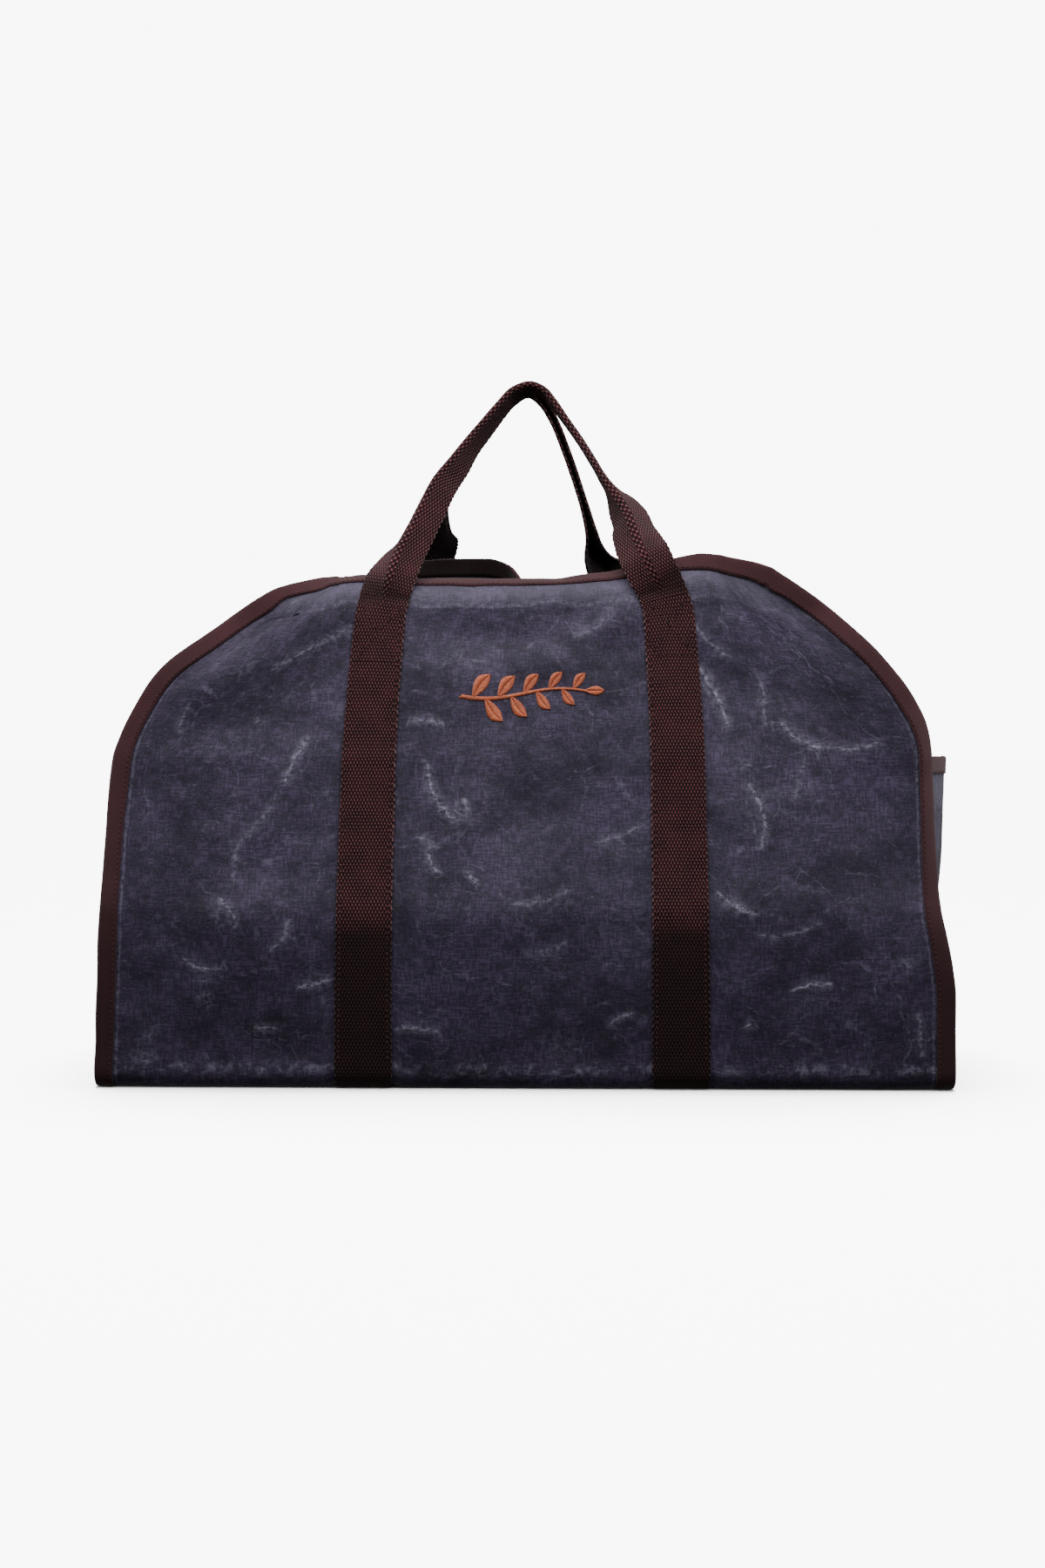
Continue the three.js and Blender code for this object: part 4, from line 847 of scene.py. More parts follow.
chafed = node(tree, "MapRange", [chafed, 0.35, 0.65, 0.15, 0.7], **SOFT)
worn = node(tree, "Math", [worn, chafed], **TIMES)
clouds = node(tree, "TexNoise", {"Vector": spot, "Scale": 1000 / 22, "Detail": 3})
ground = node(tree, "Mix", {0: clouds, 6: linear(TAPE_DARK), 7: linear(TAPE_BROWN)}, **COLOURS)
for pale in (node(tree, "MapRange", [ribs, -0.4, 1, 0, 0.28], **SOFT), worn):
    ground = node(tree, "Mix", {0: pale, 6: ground, 7: linear(TAPE_PALE)}, **COLOURS)
# Painted shade from the shade attribute: the inner leg, and darker towards the floor.
shade = node(tree, "Attribute", take="Fac", attribute_name="shade")
ground = node(tree, "Mix", {0: shade, 6: ground, 7: linear(TAPE_SHADE)}, **COLOURS)
tree.links.new(ground, shader.inputs["Base Color"])
shader.inputs["Roughness"].default_value = 0.88
shader.inputs["Specular IOR Level"].default_value = 0.2
shader.inputs["Sheen Weight"].default_value = 0.12
ribbed = node(tree, "Bump", {"Height": ribs, "Strength": 0.4, "Distance": 0.0002}, "Normal")
tree.links.new(ribbed, shader.inputs["Normal"])

points = sections.reshape(-1, 3)
faces = facing_out(points, loft(sections, True))
# Painted shade: dark on the inner leg, and darker towards the floor below a height.
tape_shade = np.array([0] * (len(LEG_SHARES) + 2) + [TAPE_INNER_SHADE] * (len(LEG_SHARES) + 1))
tape_shade = np.tile(np.concatenate([tape_shade, tape_shade[::-1]]), stations)
low_shade = TAPE_FOOT_SHADE * smooth((TAPE_LOW_FROM - points[:, 2]) / TAPE_LOW_OVER)
tape_shade = np.maximum(tape_shade, low_shade)
spots = tape_spots(sections, tape_length)
add_piece("edge_tape", points, faces, spots, twill_tape, "binding_tape", "edge_binding", shade=tape_shade)


def seam(line, out, length, gap, rise):
    """Stitches along a line on a surface. Each comes up, lies on it for its length and goes down
    again: four points at even steps, the outer two sunk and the inner two raised."""
    run = run_along(line)
    at = np.arange(0, run[-1] - length, length + gap)[:, None] + np.linspace(0, length, 4)
    place = np.stack([np.interp(at, run, line[:, i]) for i in range(3)], axis=-1)
    away = unit(np.stack([np.interp(at, run, out[:, i]) for i in range(3)], axis=-1))
    return place + away * (rise * np.array([-SUNK, 1, 1, -SUNK]))[:, None], away


def threads_of(paths, outs, wide, high):
    """Points and quads of many short threads: an ellipse of six sides carried along each path."""
    along = unit(np.gradient(paths, axis=1))
    aside = unit(np.cross(along, outs))
    turn = np.arange(6) * math.pi / 3
    ring = paths[:, :, None] + aside[:, :, None] * (np.cos(turn) * wide)[:, None]
    ring = ring + outs[:, :, None] * (np.sin(turn) * high)[:, None]
    count, steps = paths.shape[:2]
    number = np.arange(count * steps * 6).reshape(count, steps, 6)
    here, after = number[:, :-1], number[:, 1:]
    sides = np.stack([here, np.roll(here, -1, axis=2), np.roll(after, -1, axis=2), after], axis=-1)
    first, last = number[:, 0], number[:, -1]
    caps = [first[:, [3, 2, 1, 0]], first[:, [5, 4, 3, 0]], last[:, [0, 1, 2, 3]], last[:, [0, 3, 4, 5]]]
    faces = np.concatenate([sides.reshape(-1, 4), *caps])
    return ring.reshape(-1, 3), facing_out(ring.reshape(-1, 3), faces)


# Sewing thread: waxed brown polyester, twisted, as dark as what it holds and a little glossier.
THREAD_DARK, THREAD_BROWN = "#1f0d11", "#472529"
sewing_thread, tree, shader = blank("sewing_thread")
spot = node(tree, "TexCoord", take="Object")
ply = node(tree, "TexNoise", {"Vector": spot, "Scale": 1000 / 3, "Detail": 3})
ply = node(tree, "Mix", {0: ply, 6: linear(THREAD_DARK), 7: linear(THREAD_BROWN)}, **COLOURS)
tree.links.new(ply, shader.inputs["Base Color"])
shader.inputs["Roughness"].default_value = 0.65
shader.inputs["Specular IOR Level"].default_value = 0.3
STITCH, STITCH_GAP = 2.9, 0.7  # length of a stitch, and from its end to the next
SUNK = 0.8  # how deep a stitch's ends are sunk, of its rise
SEAM_IN = 0.7  # how far in from the tape's inner line the seam lies, of a leg's step
TAPE_THREAD, STRAP_THREAD = (0.22, 0.3, 0.25), (0.3, 0.38, 0.3)  # rise, half width, half height

seam_line = mix(sections[:, 0], sections[:, 1], SEAM_IN)
paths, outs = seam(seam_line, tape_out[:, 0], STITCH, STITCH_GAP, TAPE_THREAD[0])
points, faces = threads_of(paths, outs, *TAPE_THREAD[1:])
add_piece("tape_stitches", points, faces, points[:, :2], sewing_thread, "binding_tape")

# The end panels: one lighter piece of the same waxed canvas at each end, sewn under the binding
# and folded inwards at its foot. The slack of its top bellies out.
END_BULGE = 42  # how far the slack stands out at its top edge
END_ROUND = 1.25  # how gently the bulge starts from the seam
END_BEND = 6  # from the tape's inner line to where the panel turns out of its seam
SEAM_INSET = 1  # the panel's raw edge stops short of the main cloth's edge
BEND_SLANT = 1  # how far the bend leans on inwards while it turns
DENT_WIDTH = 0.35  # of the dent in a bulge, as a share of half the depth
CLOSING = 0.5  # share of the height below which the panel's columns close up
CORNER_RISE = 0.55  # where the column of the floor's corner meets the middle, of that height
SEAM_DEPTH = CANVAS / 2 + GAP + END_CANVAS / 2
END_SLACK = np.array([[0, 0], [0.25, 0.38], [0.63, 0.84], [1, 1]])
END_SHARES = np.arange(1, 33) / 32
BEND_POINTS = 9  # across the seam and the bend
SEAM_KNOTS = np.array([0, 11, 17, 23])  # along those: raw edge, tape's inner line, bend, its end


def end_half(side, seam_rows, bulge_share, dent, dent_at):
    """Half of an end panel, from its seam with the main cloth to its upright middle line.

    It starts flat on the cloth, turns in a bend, and spans to the middle line as a straight line
    plus a bulge: the slack at that height times (1 - d squared) to a power, where d is the share of
    half the depth. The lower columns meet the middle line above the floor, so that they close up.
    """
    edge, ring, inside = (0, COLUMN[1], COLUMN[2]) if side < 0 else (-1, COLUMN[-2], COLUMN[-3])
    at_edge, at_ring = cloth_grid[seam_rows, edge], cloth_grid[seam_rows, ring]
    out_edge, out_ring = cloth_out[seam_rows, edge], cloth_out[seam_rows, ring]
    to_inner = unit(cloth_grid[seam_rows, inside] - at_ring)
    raw = mix(at_edge, at_ring, SEAM_INSET / TAPE_WIDTH) - out_edge * SEAM_DEPTH
    bend = at_ring + to_inner * END_BEND
    sewn = [raw, at_ring - out_ring * SEAM_DEPTH, bend - out_ring * SEAM_DEPTH]
    sewn.append(bend - out_ring * (SEAM_DEPTH + END_BEND) + to_inner * BEND_SLANT)
    sewn = curve(SEAM_KNOTS, np.array(sewn), np.linspace(0, SEAM_KNOTS[-1], BEND_POINTS))
    start = sewn[-1]
    row_number = np.interp(seam_rows, ROW, np.arange(LAST_ROW + 1))
    from_top = np.minimum(row_number, LAST_ROW - row_number) - END_TOP_ROW
    spread = END_HEIGHT * CLOSING
    corner, last = spread * CORNER_RISE, start[-1, 2] + 2 * END_BEND
    panel_rows = len(LOWER_ROWS) - 1
    on_base = mix(corner, last, (from_top - panel_rows) / (LAST_ROW / 2 - END_TOP_ROW - panel_rows))
    low = np.where(from_top <= panel_rows, mix(corner, spread, start[:, 2] / spread), on_base)
    middle_z = np.where(start[:, 2] > spread, start[:, 2], low)
    y = mix(start[None, :, 1], 0, END_SHARES[:, None])
    z = mix(start[None, :, 2], middle_z[None], END_SHARES[:, None])
    half_depth = np.maximum(DEPTH / 2 - LEAN * read(LEANING, 1, z / END_HEIGHT), 1)
    d = y / half_depth
    swell = END_BULGE * read(END_SLACK, 1, z / END_HEIGHT) * bulge_share
    dented = 1 - dent * np.exp(-(((d - dent_at) / DENT_WIDTH) ** 2))
    x = start[None, :, 0] + side * swell * np.maximum(1 - d * d, 0) ** END_ROUND * dented
    return np.concatenate([sewn, np.stack([x, y, z], axis=-1)]).swapaxes(0, 1)


for name, side, bulge_share, dent, dent_at in (("left", -1, 0.74, 0.3, 0.1), ("right", 1, 1, 0, 0)):
    top_row, base_row_number = ROW[END_TOP_ROW], ROW[LAST_ROW // 2]
    seam_rows = np.arange(top_row, base_row_number + 1)
    front_half = end_half(side, seam_rows, bulge_share, dent, dent_at)
    back_half = end_half(side, ROW[-1] - seam_rows, bulge_share, dent, dent_at)
    middle_line = (front_half[:, -1] + back_half[:, -1]) / 2
    for half_panel in (front_half, back_half):
        half_panel[:, BEND_POINTS:, 0] += (middle_line - half_panel[:, -1])[:, None, 0] * END_SHARES
    end_grid = np.concatenate([front_half, back_half[:, -2::-1]], axis=1)
    end_out = out_of(end_grid[:-1]) * -side
    if np.sum(end_out[0, :, 0]) * side < 0:
        end_out = -end_out
    count = end_grid.shape[0] * end_grid.shape[1]
    faces = grid_faces(*end_grid.shape[:2])
    faces = faces if side < 0 else faces[:, ::-1]
    spots_down = np.arange(end_grid.shape[0]) * THREAD_STEP
    spots = np.stack(np.meshgrid(run_along(end_grid[0]), spots_down), axis=-1)
    end_piece = add_piece(
        f"end_cloth_{name}",
        end_grid.reshape(-1, 3),
        faces,
        spots.reshape(-1, 2),
        waxed_canvas,
        "waxed_canvas",
        f"end_panel_{name}",
    )
    work = bmesh.new()
    work.from_mesh(end_piece.data)
    bmesh.ops.remove_doubles(work, verts=work.verts, dist=0.1 * MM)
    bmesh.ops.recalc_face_normals(work, faces=work.faces)
    outward = sum(face.normal.x * face.calc_area() for face in work.faces) * side
    if outward < 0:
        bmesh.ops.reverse_faces(work, faces=work.faces)
    work.to_mesh(end_piece.data)
    work.free()
    at_top = np.linalg.norm(np.diff(end_grid[0], axis=0), axis=-1).sum() * MM
    edges_down = np.linalg.norm(np.diff(end_grid, axis=0), axis=-1).sum(axis=0).max() * MM
    corner_steps = np.cross(end_grid[1:, :-1] - end_grid[:-1, :-1], end_grid[:-1, 1:] - end_grid[:-1, :-1])
    end_area = np.linalg.norm(corner_steps, axis=-1).sum() * MM**2
    end_area = min(end_area, at_top * edges_down)
    thickness = end_piece.modifiers.new("wall", "SOLIDIFY")
    thickness.thickness = END_CANVAS * MM
    thickness.offset = 0

    rows_down = ROW[END_TOP_ROW + 1] - ROW[END_TOP_ROW]
    free_columns = np.arange(BEND_POINTS - 1, end_grid.shape[1] - BEND_POINTS + 1)
    line_row = np.tile(LEG_SHARES * rows_down, (len(free_columns), 1))
    line_column = np.tile(free_columns[:, None], (1, len(LEG_SHARES)))
    end_line = sample(end_grid, line_row, line_column)
    end_line_out = unit(sample(end_out, line_row, line_column))
    gap = np.full(len(free_columns), END_CANVAS / 2 + SEWN_GAP)
    sections = fold_tape(end_line, end_line_out, gap, gap, END_PUCKER * wander(len(gap), 6, 13))
    points = sections.reshape(-1, 3)
    along = run_along(end_line[:, -1])
    faces = facing_out(points, loft(sections, False))
    add_piece(
        f"end_tape_{name}",
        points,
        faces,
        tape_spots(sections, along),
        twill_tape,
        "binding_tape",
        f"end_panel_{name}_binding",
    )

# The straps: two lengths of 40 mm cotton webbing. Each is sewn flat from the middle of the base up
# one panel, rises over it, is folded in half to make the grip, and comes down to be sewn the same way.
GRIP_CREASE = 3  # half the width of the rounded crease of the folded grip
GRIP_OPENING = 0.6  # between the two halves of the folded grip
CREASE_SINK = 0.8  # how far the crease's shoulders drop as the grip folds, of its width
HANDLE_RISE = 147  # from the body's top edge to the top of the grip
STATION = 3.2  # of a strap's course
FINE_STATION = 1.2  # of a strap's mesh
BUCKLE = 1.6  # how deep the webbing buckles where it leaves the panel
SEAM_ASIDE = 17  # of the seams, from the webbing's middle
SEAM_FOOT = 146  # where the seams start, from the middle of the base
BOX = 42  # height of the box of stitches
CREASE_SHARE = GRIP_CREASE / (WEBBING_WIDTH / 2)
COURSE_PASSES, JOINT_PASSES = 160, 30  # smoothing of a handle's course, and where it leaves the panel
BUCKLE_AT, BUCKLE_SLANT, BUCKLE_LENGTH = 5, 4, 7  # past the joint, across the webbing, and along it
SELVEDGE = 0.94  # share of the half width where the webbing starts to thin
SELVEDGE_ROUND, THINNEST = 0.066, 0.1  # over what share it would thin to nothing, and its least square
PICK_WAVE, PICK_WAVE_FROM = 0.3, 0.9  # of the edges with the picks, and the share where it starts

# The handles from left to right along the webbing's middle: x as a share of half the strap
# spacing, rise of the handle's rise, in as how far from the panel (0) to the grip (1), width of the
# webbing's width, fold in degrees from flat (0) to shut (90), and roll about its own line.
FRONT_HANDLE = np.array(
    [
        [-0.895, -0.061, 0, 0.9, 4, -2],
        [-0.868, 0.007, 0.05, 0.92, 16, -10],
        [-0.827, 0.116, 0.16, 0.95, 36, -22],
        [-0.759, 0.238, 0.28, 0.98, 56, -38],
        [-0.688, 0.361, 0.4, 1, 72, -52],
        [-0.603, 0.497, 0.53, 1, 84, -62],
        [-0.491, 0.605, 0.64, 1, 88, -48],
        [-0.382, 0.711, 0.75, 1, 88, -30],
        [-0.286, 0.8, 0.84, 1, 88, -24],
        [-0.177, 0.898, 0.92, 1, 88, -18],
        [-0.091, 0.965, 0.97, 1, 88, -14],
        [0.018, 0.995, 1, 1, 88, -10],
        [0.11, 0.97, 0.98, 1, 88, -4],
        [0.184, 0.903, 0.94, 1, 88, 0],
        [0.252, 0.823, 0.88, 1, 88, 3],
        [0.345, 0.714, 0.78, 1, 88, 4],
        [0.43, 0.609, 0.67, 1, 88, 3],
        [0.496, 0.527, 0.57, 1, 87, 0],
        [0.545, 0.469, 0.49, 1, 80, 0],
        [0.623, 0.378, 0.38, 0.97, 58, 0],
        [0.679, 0.3, 0.26, 0.95, 46, 0],
        [0.705, 0.235, 0.17, 0.93, 36, 0],
        [0.745, 0.153, 0.06, 0.91, 20, 0],
        [0.788, 0.082, -0.03, 0.9, 6, 0],
        [0.855, -0.027, -0.06, 0.89, 0, 0],
    ]
)
BACK_HANDLE = np.array(
    [
        [-0.79, -0.05, -0.06, 0.9, 0, 0],
        [-0.765, 0.03, -0.1, 0.9, 0, 0],
        [-0.735, 0.12, -0.12, 0.92, 0, 0],
        [-0.7, 0.22, -0.08, 0.95, 0, 0],
        [-0.665, 0.32, 0.08, 0.97, 14, 0],
        [-0.615, 0.42, 0.34, 1, 54, 4],
        [-0.545, 0.52, 0.5, 1, 78, 6],
        [-0.45, 0.62, 0.64, 1, 86, 6],
        [-0.3, 0.77, 0.8, 1, 87, 6],
        [-0.14, 0.91, 0.96, 1, 87, 4],
        [0.005, 0.98, 1, 1, 87, 0],
        [0.09, 0.94, 0.98, 1, 87, 0],
        [0.172, 0.85, 0.91, 1, 87, 0],
        [0.262, 0.694, 0.78, 1, 87, 0],
        [0.338, 0.537, 0.63, 1, 87, 0],
        [0.397, 0.401, 0.48, 1, 85, 0],
        [0.432, 0.306, 0.37, 1, 80, 0],
        [0.462, 0.21, 0.24, 0.98, 62, 0],
        [0.53, 0.12, 0.04, 0.95, 34, 0],
        [0.62, 0.06, -0.08, 0.93, 14, 0],
        [0.71, 0.01, -0.1, 0.91, 4, 0],
        [0.78, -0.05, -0.06, 0.9, 0, 0],
    ]
)
leg_half = np.concatenate([np.linspace(CREASE_SHARE, SELVEDGE, 8), [0.97, 0.99, 1]])
crease_half = CREASE_SHARE * np.array([1 / 3, 2 / 3])
WEAVE = np.concatenate([-leg_half[::-1], -crease_half[::-1], [0], crease_half, leg_half])
past_selvedge = np.clip(np.abs(WEAVE) - SELVEDGE, 0, 1)
EDGE_THIN = np.sqrt(np.clip(1 - (past_selvedge / SELVEDGE_ROUND) ** 2, THINNEST, 1))


def sewn_strap(side, leg, last):
    """The webbing sewn to a panel, from the middle of the base up to a row: middle lines across it
    and the directions out of it. Across runs the way that the free part does."""
    first_column, last_column_of = COLUMN[STRAP_COLUMNS[leg][0]], COLUMN[STRAP_COLUMNS[leg][1]]
    way = side * leg
    shares = (1 + WEAVE * way) / 2
    start = ROW[LAST_ROW // 2]
    rows_up = np.arange(start, last + side, side) if side > 0 else np.arange(start, last - 1, -1)
    row = np.repeat(rows_up[:, None], len(WEAVE), axis=1).astype(float)
    column = np.repeat(mix(first_column, last_column_of, shares)[None], len(rows_up), axis=0)
    out = unit(sample(cloth_out, row, column))
    return sample(cloth_grid, row, column) + out * (CLOTH_GAP + WEBBING / 2), out


def free_strap(panel, rows, start, end):
    """The free part of a handle between the tops of its sewn parts: middle lines and directions.

    The webbing's middle follows a smooth curve through the table's places. Its section has a round
    crease in the middle and a straight leg on each side, which swing down as the fold closes.
    """
    side = panel["side"]
    grip_y = side * (WEBBING_WIDTH / 2 + GAP)
    foot_y = np.where(rows[:, 0] < 0, start[1], end[1])
    path = np.stack([rows[:, 0] * STRAP_SPACING / 2, mix(foot_y, grip_y, rows[:, 2])], axis=-1)
    path = np.column_stack([path, BODY_HEIGHT + rows[:, 1] * HANDLE_RISE])
    path = np.concatenate([[start], path, [end]])
    ends = [[panel["straps"][-1, 2], 0, 0]]
    facts = np.concatenate([ends, rows[:, 3:], ends])
    knots = np.concatenate([[0], np.cumsum(np.sqrt(np.linalg.norm(np.diff(path, axis=0), axis=-1)))])
    dense = np.linspace(0, knots[-1], 2000)
    line = curve(knots, path, dense)
    for _ in range(COURSE_PASSES):
        line[1:-1] = (line[:-2] + 2 * line[1:-1] + line[2:]) / 4
    length = run_along(line)
    at = np.linspace(0, length[-1], int(length[-1] / STATION))[1:-1]
    middle = np.stack([np.interp(at, length, line[:, i]) for i in range(3)], axis=-1)
    width, fold, roll = curve(knots, facts, np.interp(at, length, dense)).T
    fold, roll = np.radians(fold), np.radians(roll) * side
    along = unit(np.gradient(np.concatenate([[start], middle, [end]]), axis=0)[1:-1])
    out = unit(np.array([0, side, 0]) - along * (side * along[:, 1:2]))
    sideways = np.cross(along, out)
    turned_out = out * np.cos(roll)[:, None] - np.cross(along, out) * np.sin(roll)[:, None]
    turned_side = sideways * np.cos(roll)[:, None] - np.cross(along, sideways) * np.sin(roll)[:, None]
    cos, sin = np.cos(fold)[:, None], np.sin(fold)[:, None]
    root_a = GRIP_CREASE * cos + (WEBBING + GRIP_OPENING) / 2 * sin
    root_o = -GRIP_CREASE * sin * CREASE_SINK
    leg = (width * WEBBING_WIDTH / 2 - GRIP_CREASE)[:, None]
    swing = np.clip(WEAVE / CREASE_SHARE, -1, 1) * math.pi / 2
    share = np.clip((np.abs(WEAVE) - CREASE_SHARE) / (1 - CREASE_SHARE), 0, 1)
    a = root_a * np.sin(swing) + np.sign(WEAVE) * leg * cos * share
    o = root_o * (1 - np.cos(swing)) - leg * sin * share
    da, do = np.gradient(a, axis=1), np.gradient(o, axis=1)
    section_out = unit(np.stack([-do, da], axis=-1))
    lines = middle[:, None] + turned_side[:, None] * a[..., None] + turned_out[:, None] * o[..., None]
    lines_out = turned_side[:, None] * section_out[..., :1] + turned_out[:, None] * section_out[..., 1:]
    return lines, lines_out


# Cotton webbing, coarse and matt, dark brown: its thick picks stand out as offset rows of beads, with painted
# shade in the gaps between them and painted highlights on their crowns.
BEAD_ACROSS, BEAD_ALONG = 1.2, 2.4  # half the way to the next bead of a row, and to the next row
WEB_BROWN, WEB_DARK, WEB_PALE_AND_HIGHLIGHT, WEB_WORN = "#441b21", "#120406", "#90595a", "#8a6c69"
cotton_webbing, tree, shader = blank("cotton_webbing")
spot = node(tree, "UVMap", take="UV", uv_map="cloth")
loose = node(tree, "TexNoise", {"Vector": spot, "Scale": 1000 / 7, "Detail": 2}, "Color")
loose = node(tree, "VectorMath", [loose, (0.0007, 0.0007, 0), spot], operation="MULTIPLY_ADD")
place_across, place_along, _ = node(tree, "SeparateXYZ", [loose], slice(3))
waves = []
for place, pitch in ((place_across, BEAD_ACROSS), (place_along, BEAD_ALONG)):
    turn = node(tree, "Math", [place, math.pi / (pitch * MM)], **TIMES)
    waves.append(node(tree, "Math", [turn], operation="SINE"))
beads = node(tree, "Math", waves, **TIMES)
clouds = node(tree, "TexNoise", {"Vector": spot, "Scale": 1000 / 16, "Detail": 3})
clouds = node(tree, "MapRange", [clouds, 0.3, 0.7, 0.3, 1], **SOFT)
ground = node(tree, "Mix", {0: clouds, 6: linear(WEB_DARK), 7: linear(WEB_BROWN)}, **COLOURS)
# Painted shade darkens the gaps between the beads.
gap_shade_mix = node(tree, "MapRange", [beads, -0.5, 0.3, 0.08, 1], **SOFT)
ground = node(tree, "Mix", {0: gap_shade_mix, 6: linear(WEB_DARK), 7: ground}, **COLOURS)
# Painted highlights lighten the beads' crowns, mixed with pale fibres.
highlight_and_fibres = node(tree, "MapRange", [beads, 0.3, 1, 0, 0.75], **SOFT)
fibres = node(tree, "TexNoise", {"Vector": spot, "Scale": 1000 / 1.6, "Detail": 3, "Roughness": 0.7})
fibres = node(tree, "MapRange", [fibres, 0.55, 0.8, 0, 0.35], **SOFT)
highlight_and_fibres = node(tree, "Math", [highlight_and_fibres, fibres], **HIGHER)
ground = node(tree, "Mix", {0: highlight_and_fibres, 6: ground, 7: linear(WEB_PALE_AND_HIGHLIGHT)}, **COLOURS)
from_middle = node(tree, "Math", [place_across], **SIZE)
selvedge = node(tree, "MapRange", [from_middle, 0.0188, 0.0202], **SOFT)
chafed = node(tree, "TexNoise", {"Vector": spot, "Scale": 1000 / 5, "Detail": 3})
chafed = node(tree, "MapRange", [chafed, 0.42, 0.62, 0, 0.4], **SOFT)
selvedge = node(tree, "Math", [selvedge, chafed], **TIMES)
ground = node(tree, "Mix", {0: selvedge, 6: ground, 7: linear(WEB_WORN)}, **COLOURS)
# Painted shade from the shade attribute.
shade = node(tree, "Attribute", take="Fac", attribute_name="shade")
ground = node(tree, "Mix", {0: shade, 6: ground, 7: linear(WEB_DARK)}, **COLOURS)
tree.links.new(ground, shader.inputs["Base Color"])
shader.inputs["Roughness"].default_value = 0.92
shader.inputs["Specular IOR Level"].default_value = 0.15
shader.inputs["Sheen Weight"].default_value = 0.08
beaded = node(tree, "Bump", {"Height": beads, "Strength": 0.9, "Distance": 0.0008}, "Normal")
tree.links.new(beaded, shader.inputs["Normal"])
FOOT_SHADE, FOOT_HEIGHT = 0.74, 104  # painted shadow: how dark the straps are made below this height above the floor
FOOT_FADE, MOUTH_FADE = 16, 14  # heights over which that and the mouth's shade fade
JOINT_SHADE = 0.6  # painted shade in the crease where they leave the panel
INNER_SHADE, GRIP_SHADE = 0.92, 0  # painted shade of their inner faces, in the mouth and near the grip
MOUTH_LEFT, MOUTH_RIGHT = 428, 392  # heights where the one fades into the other

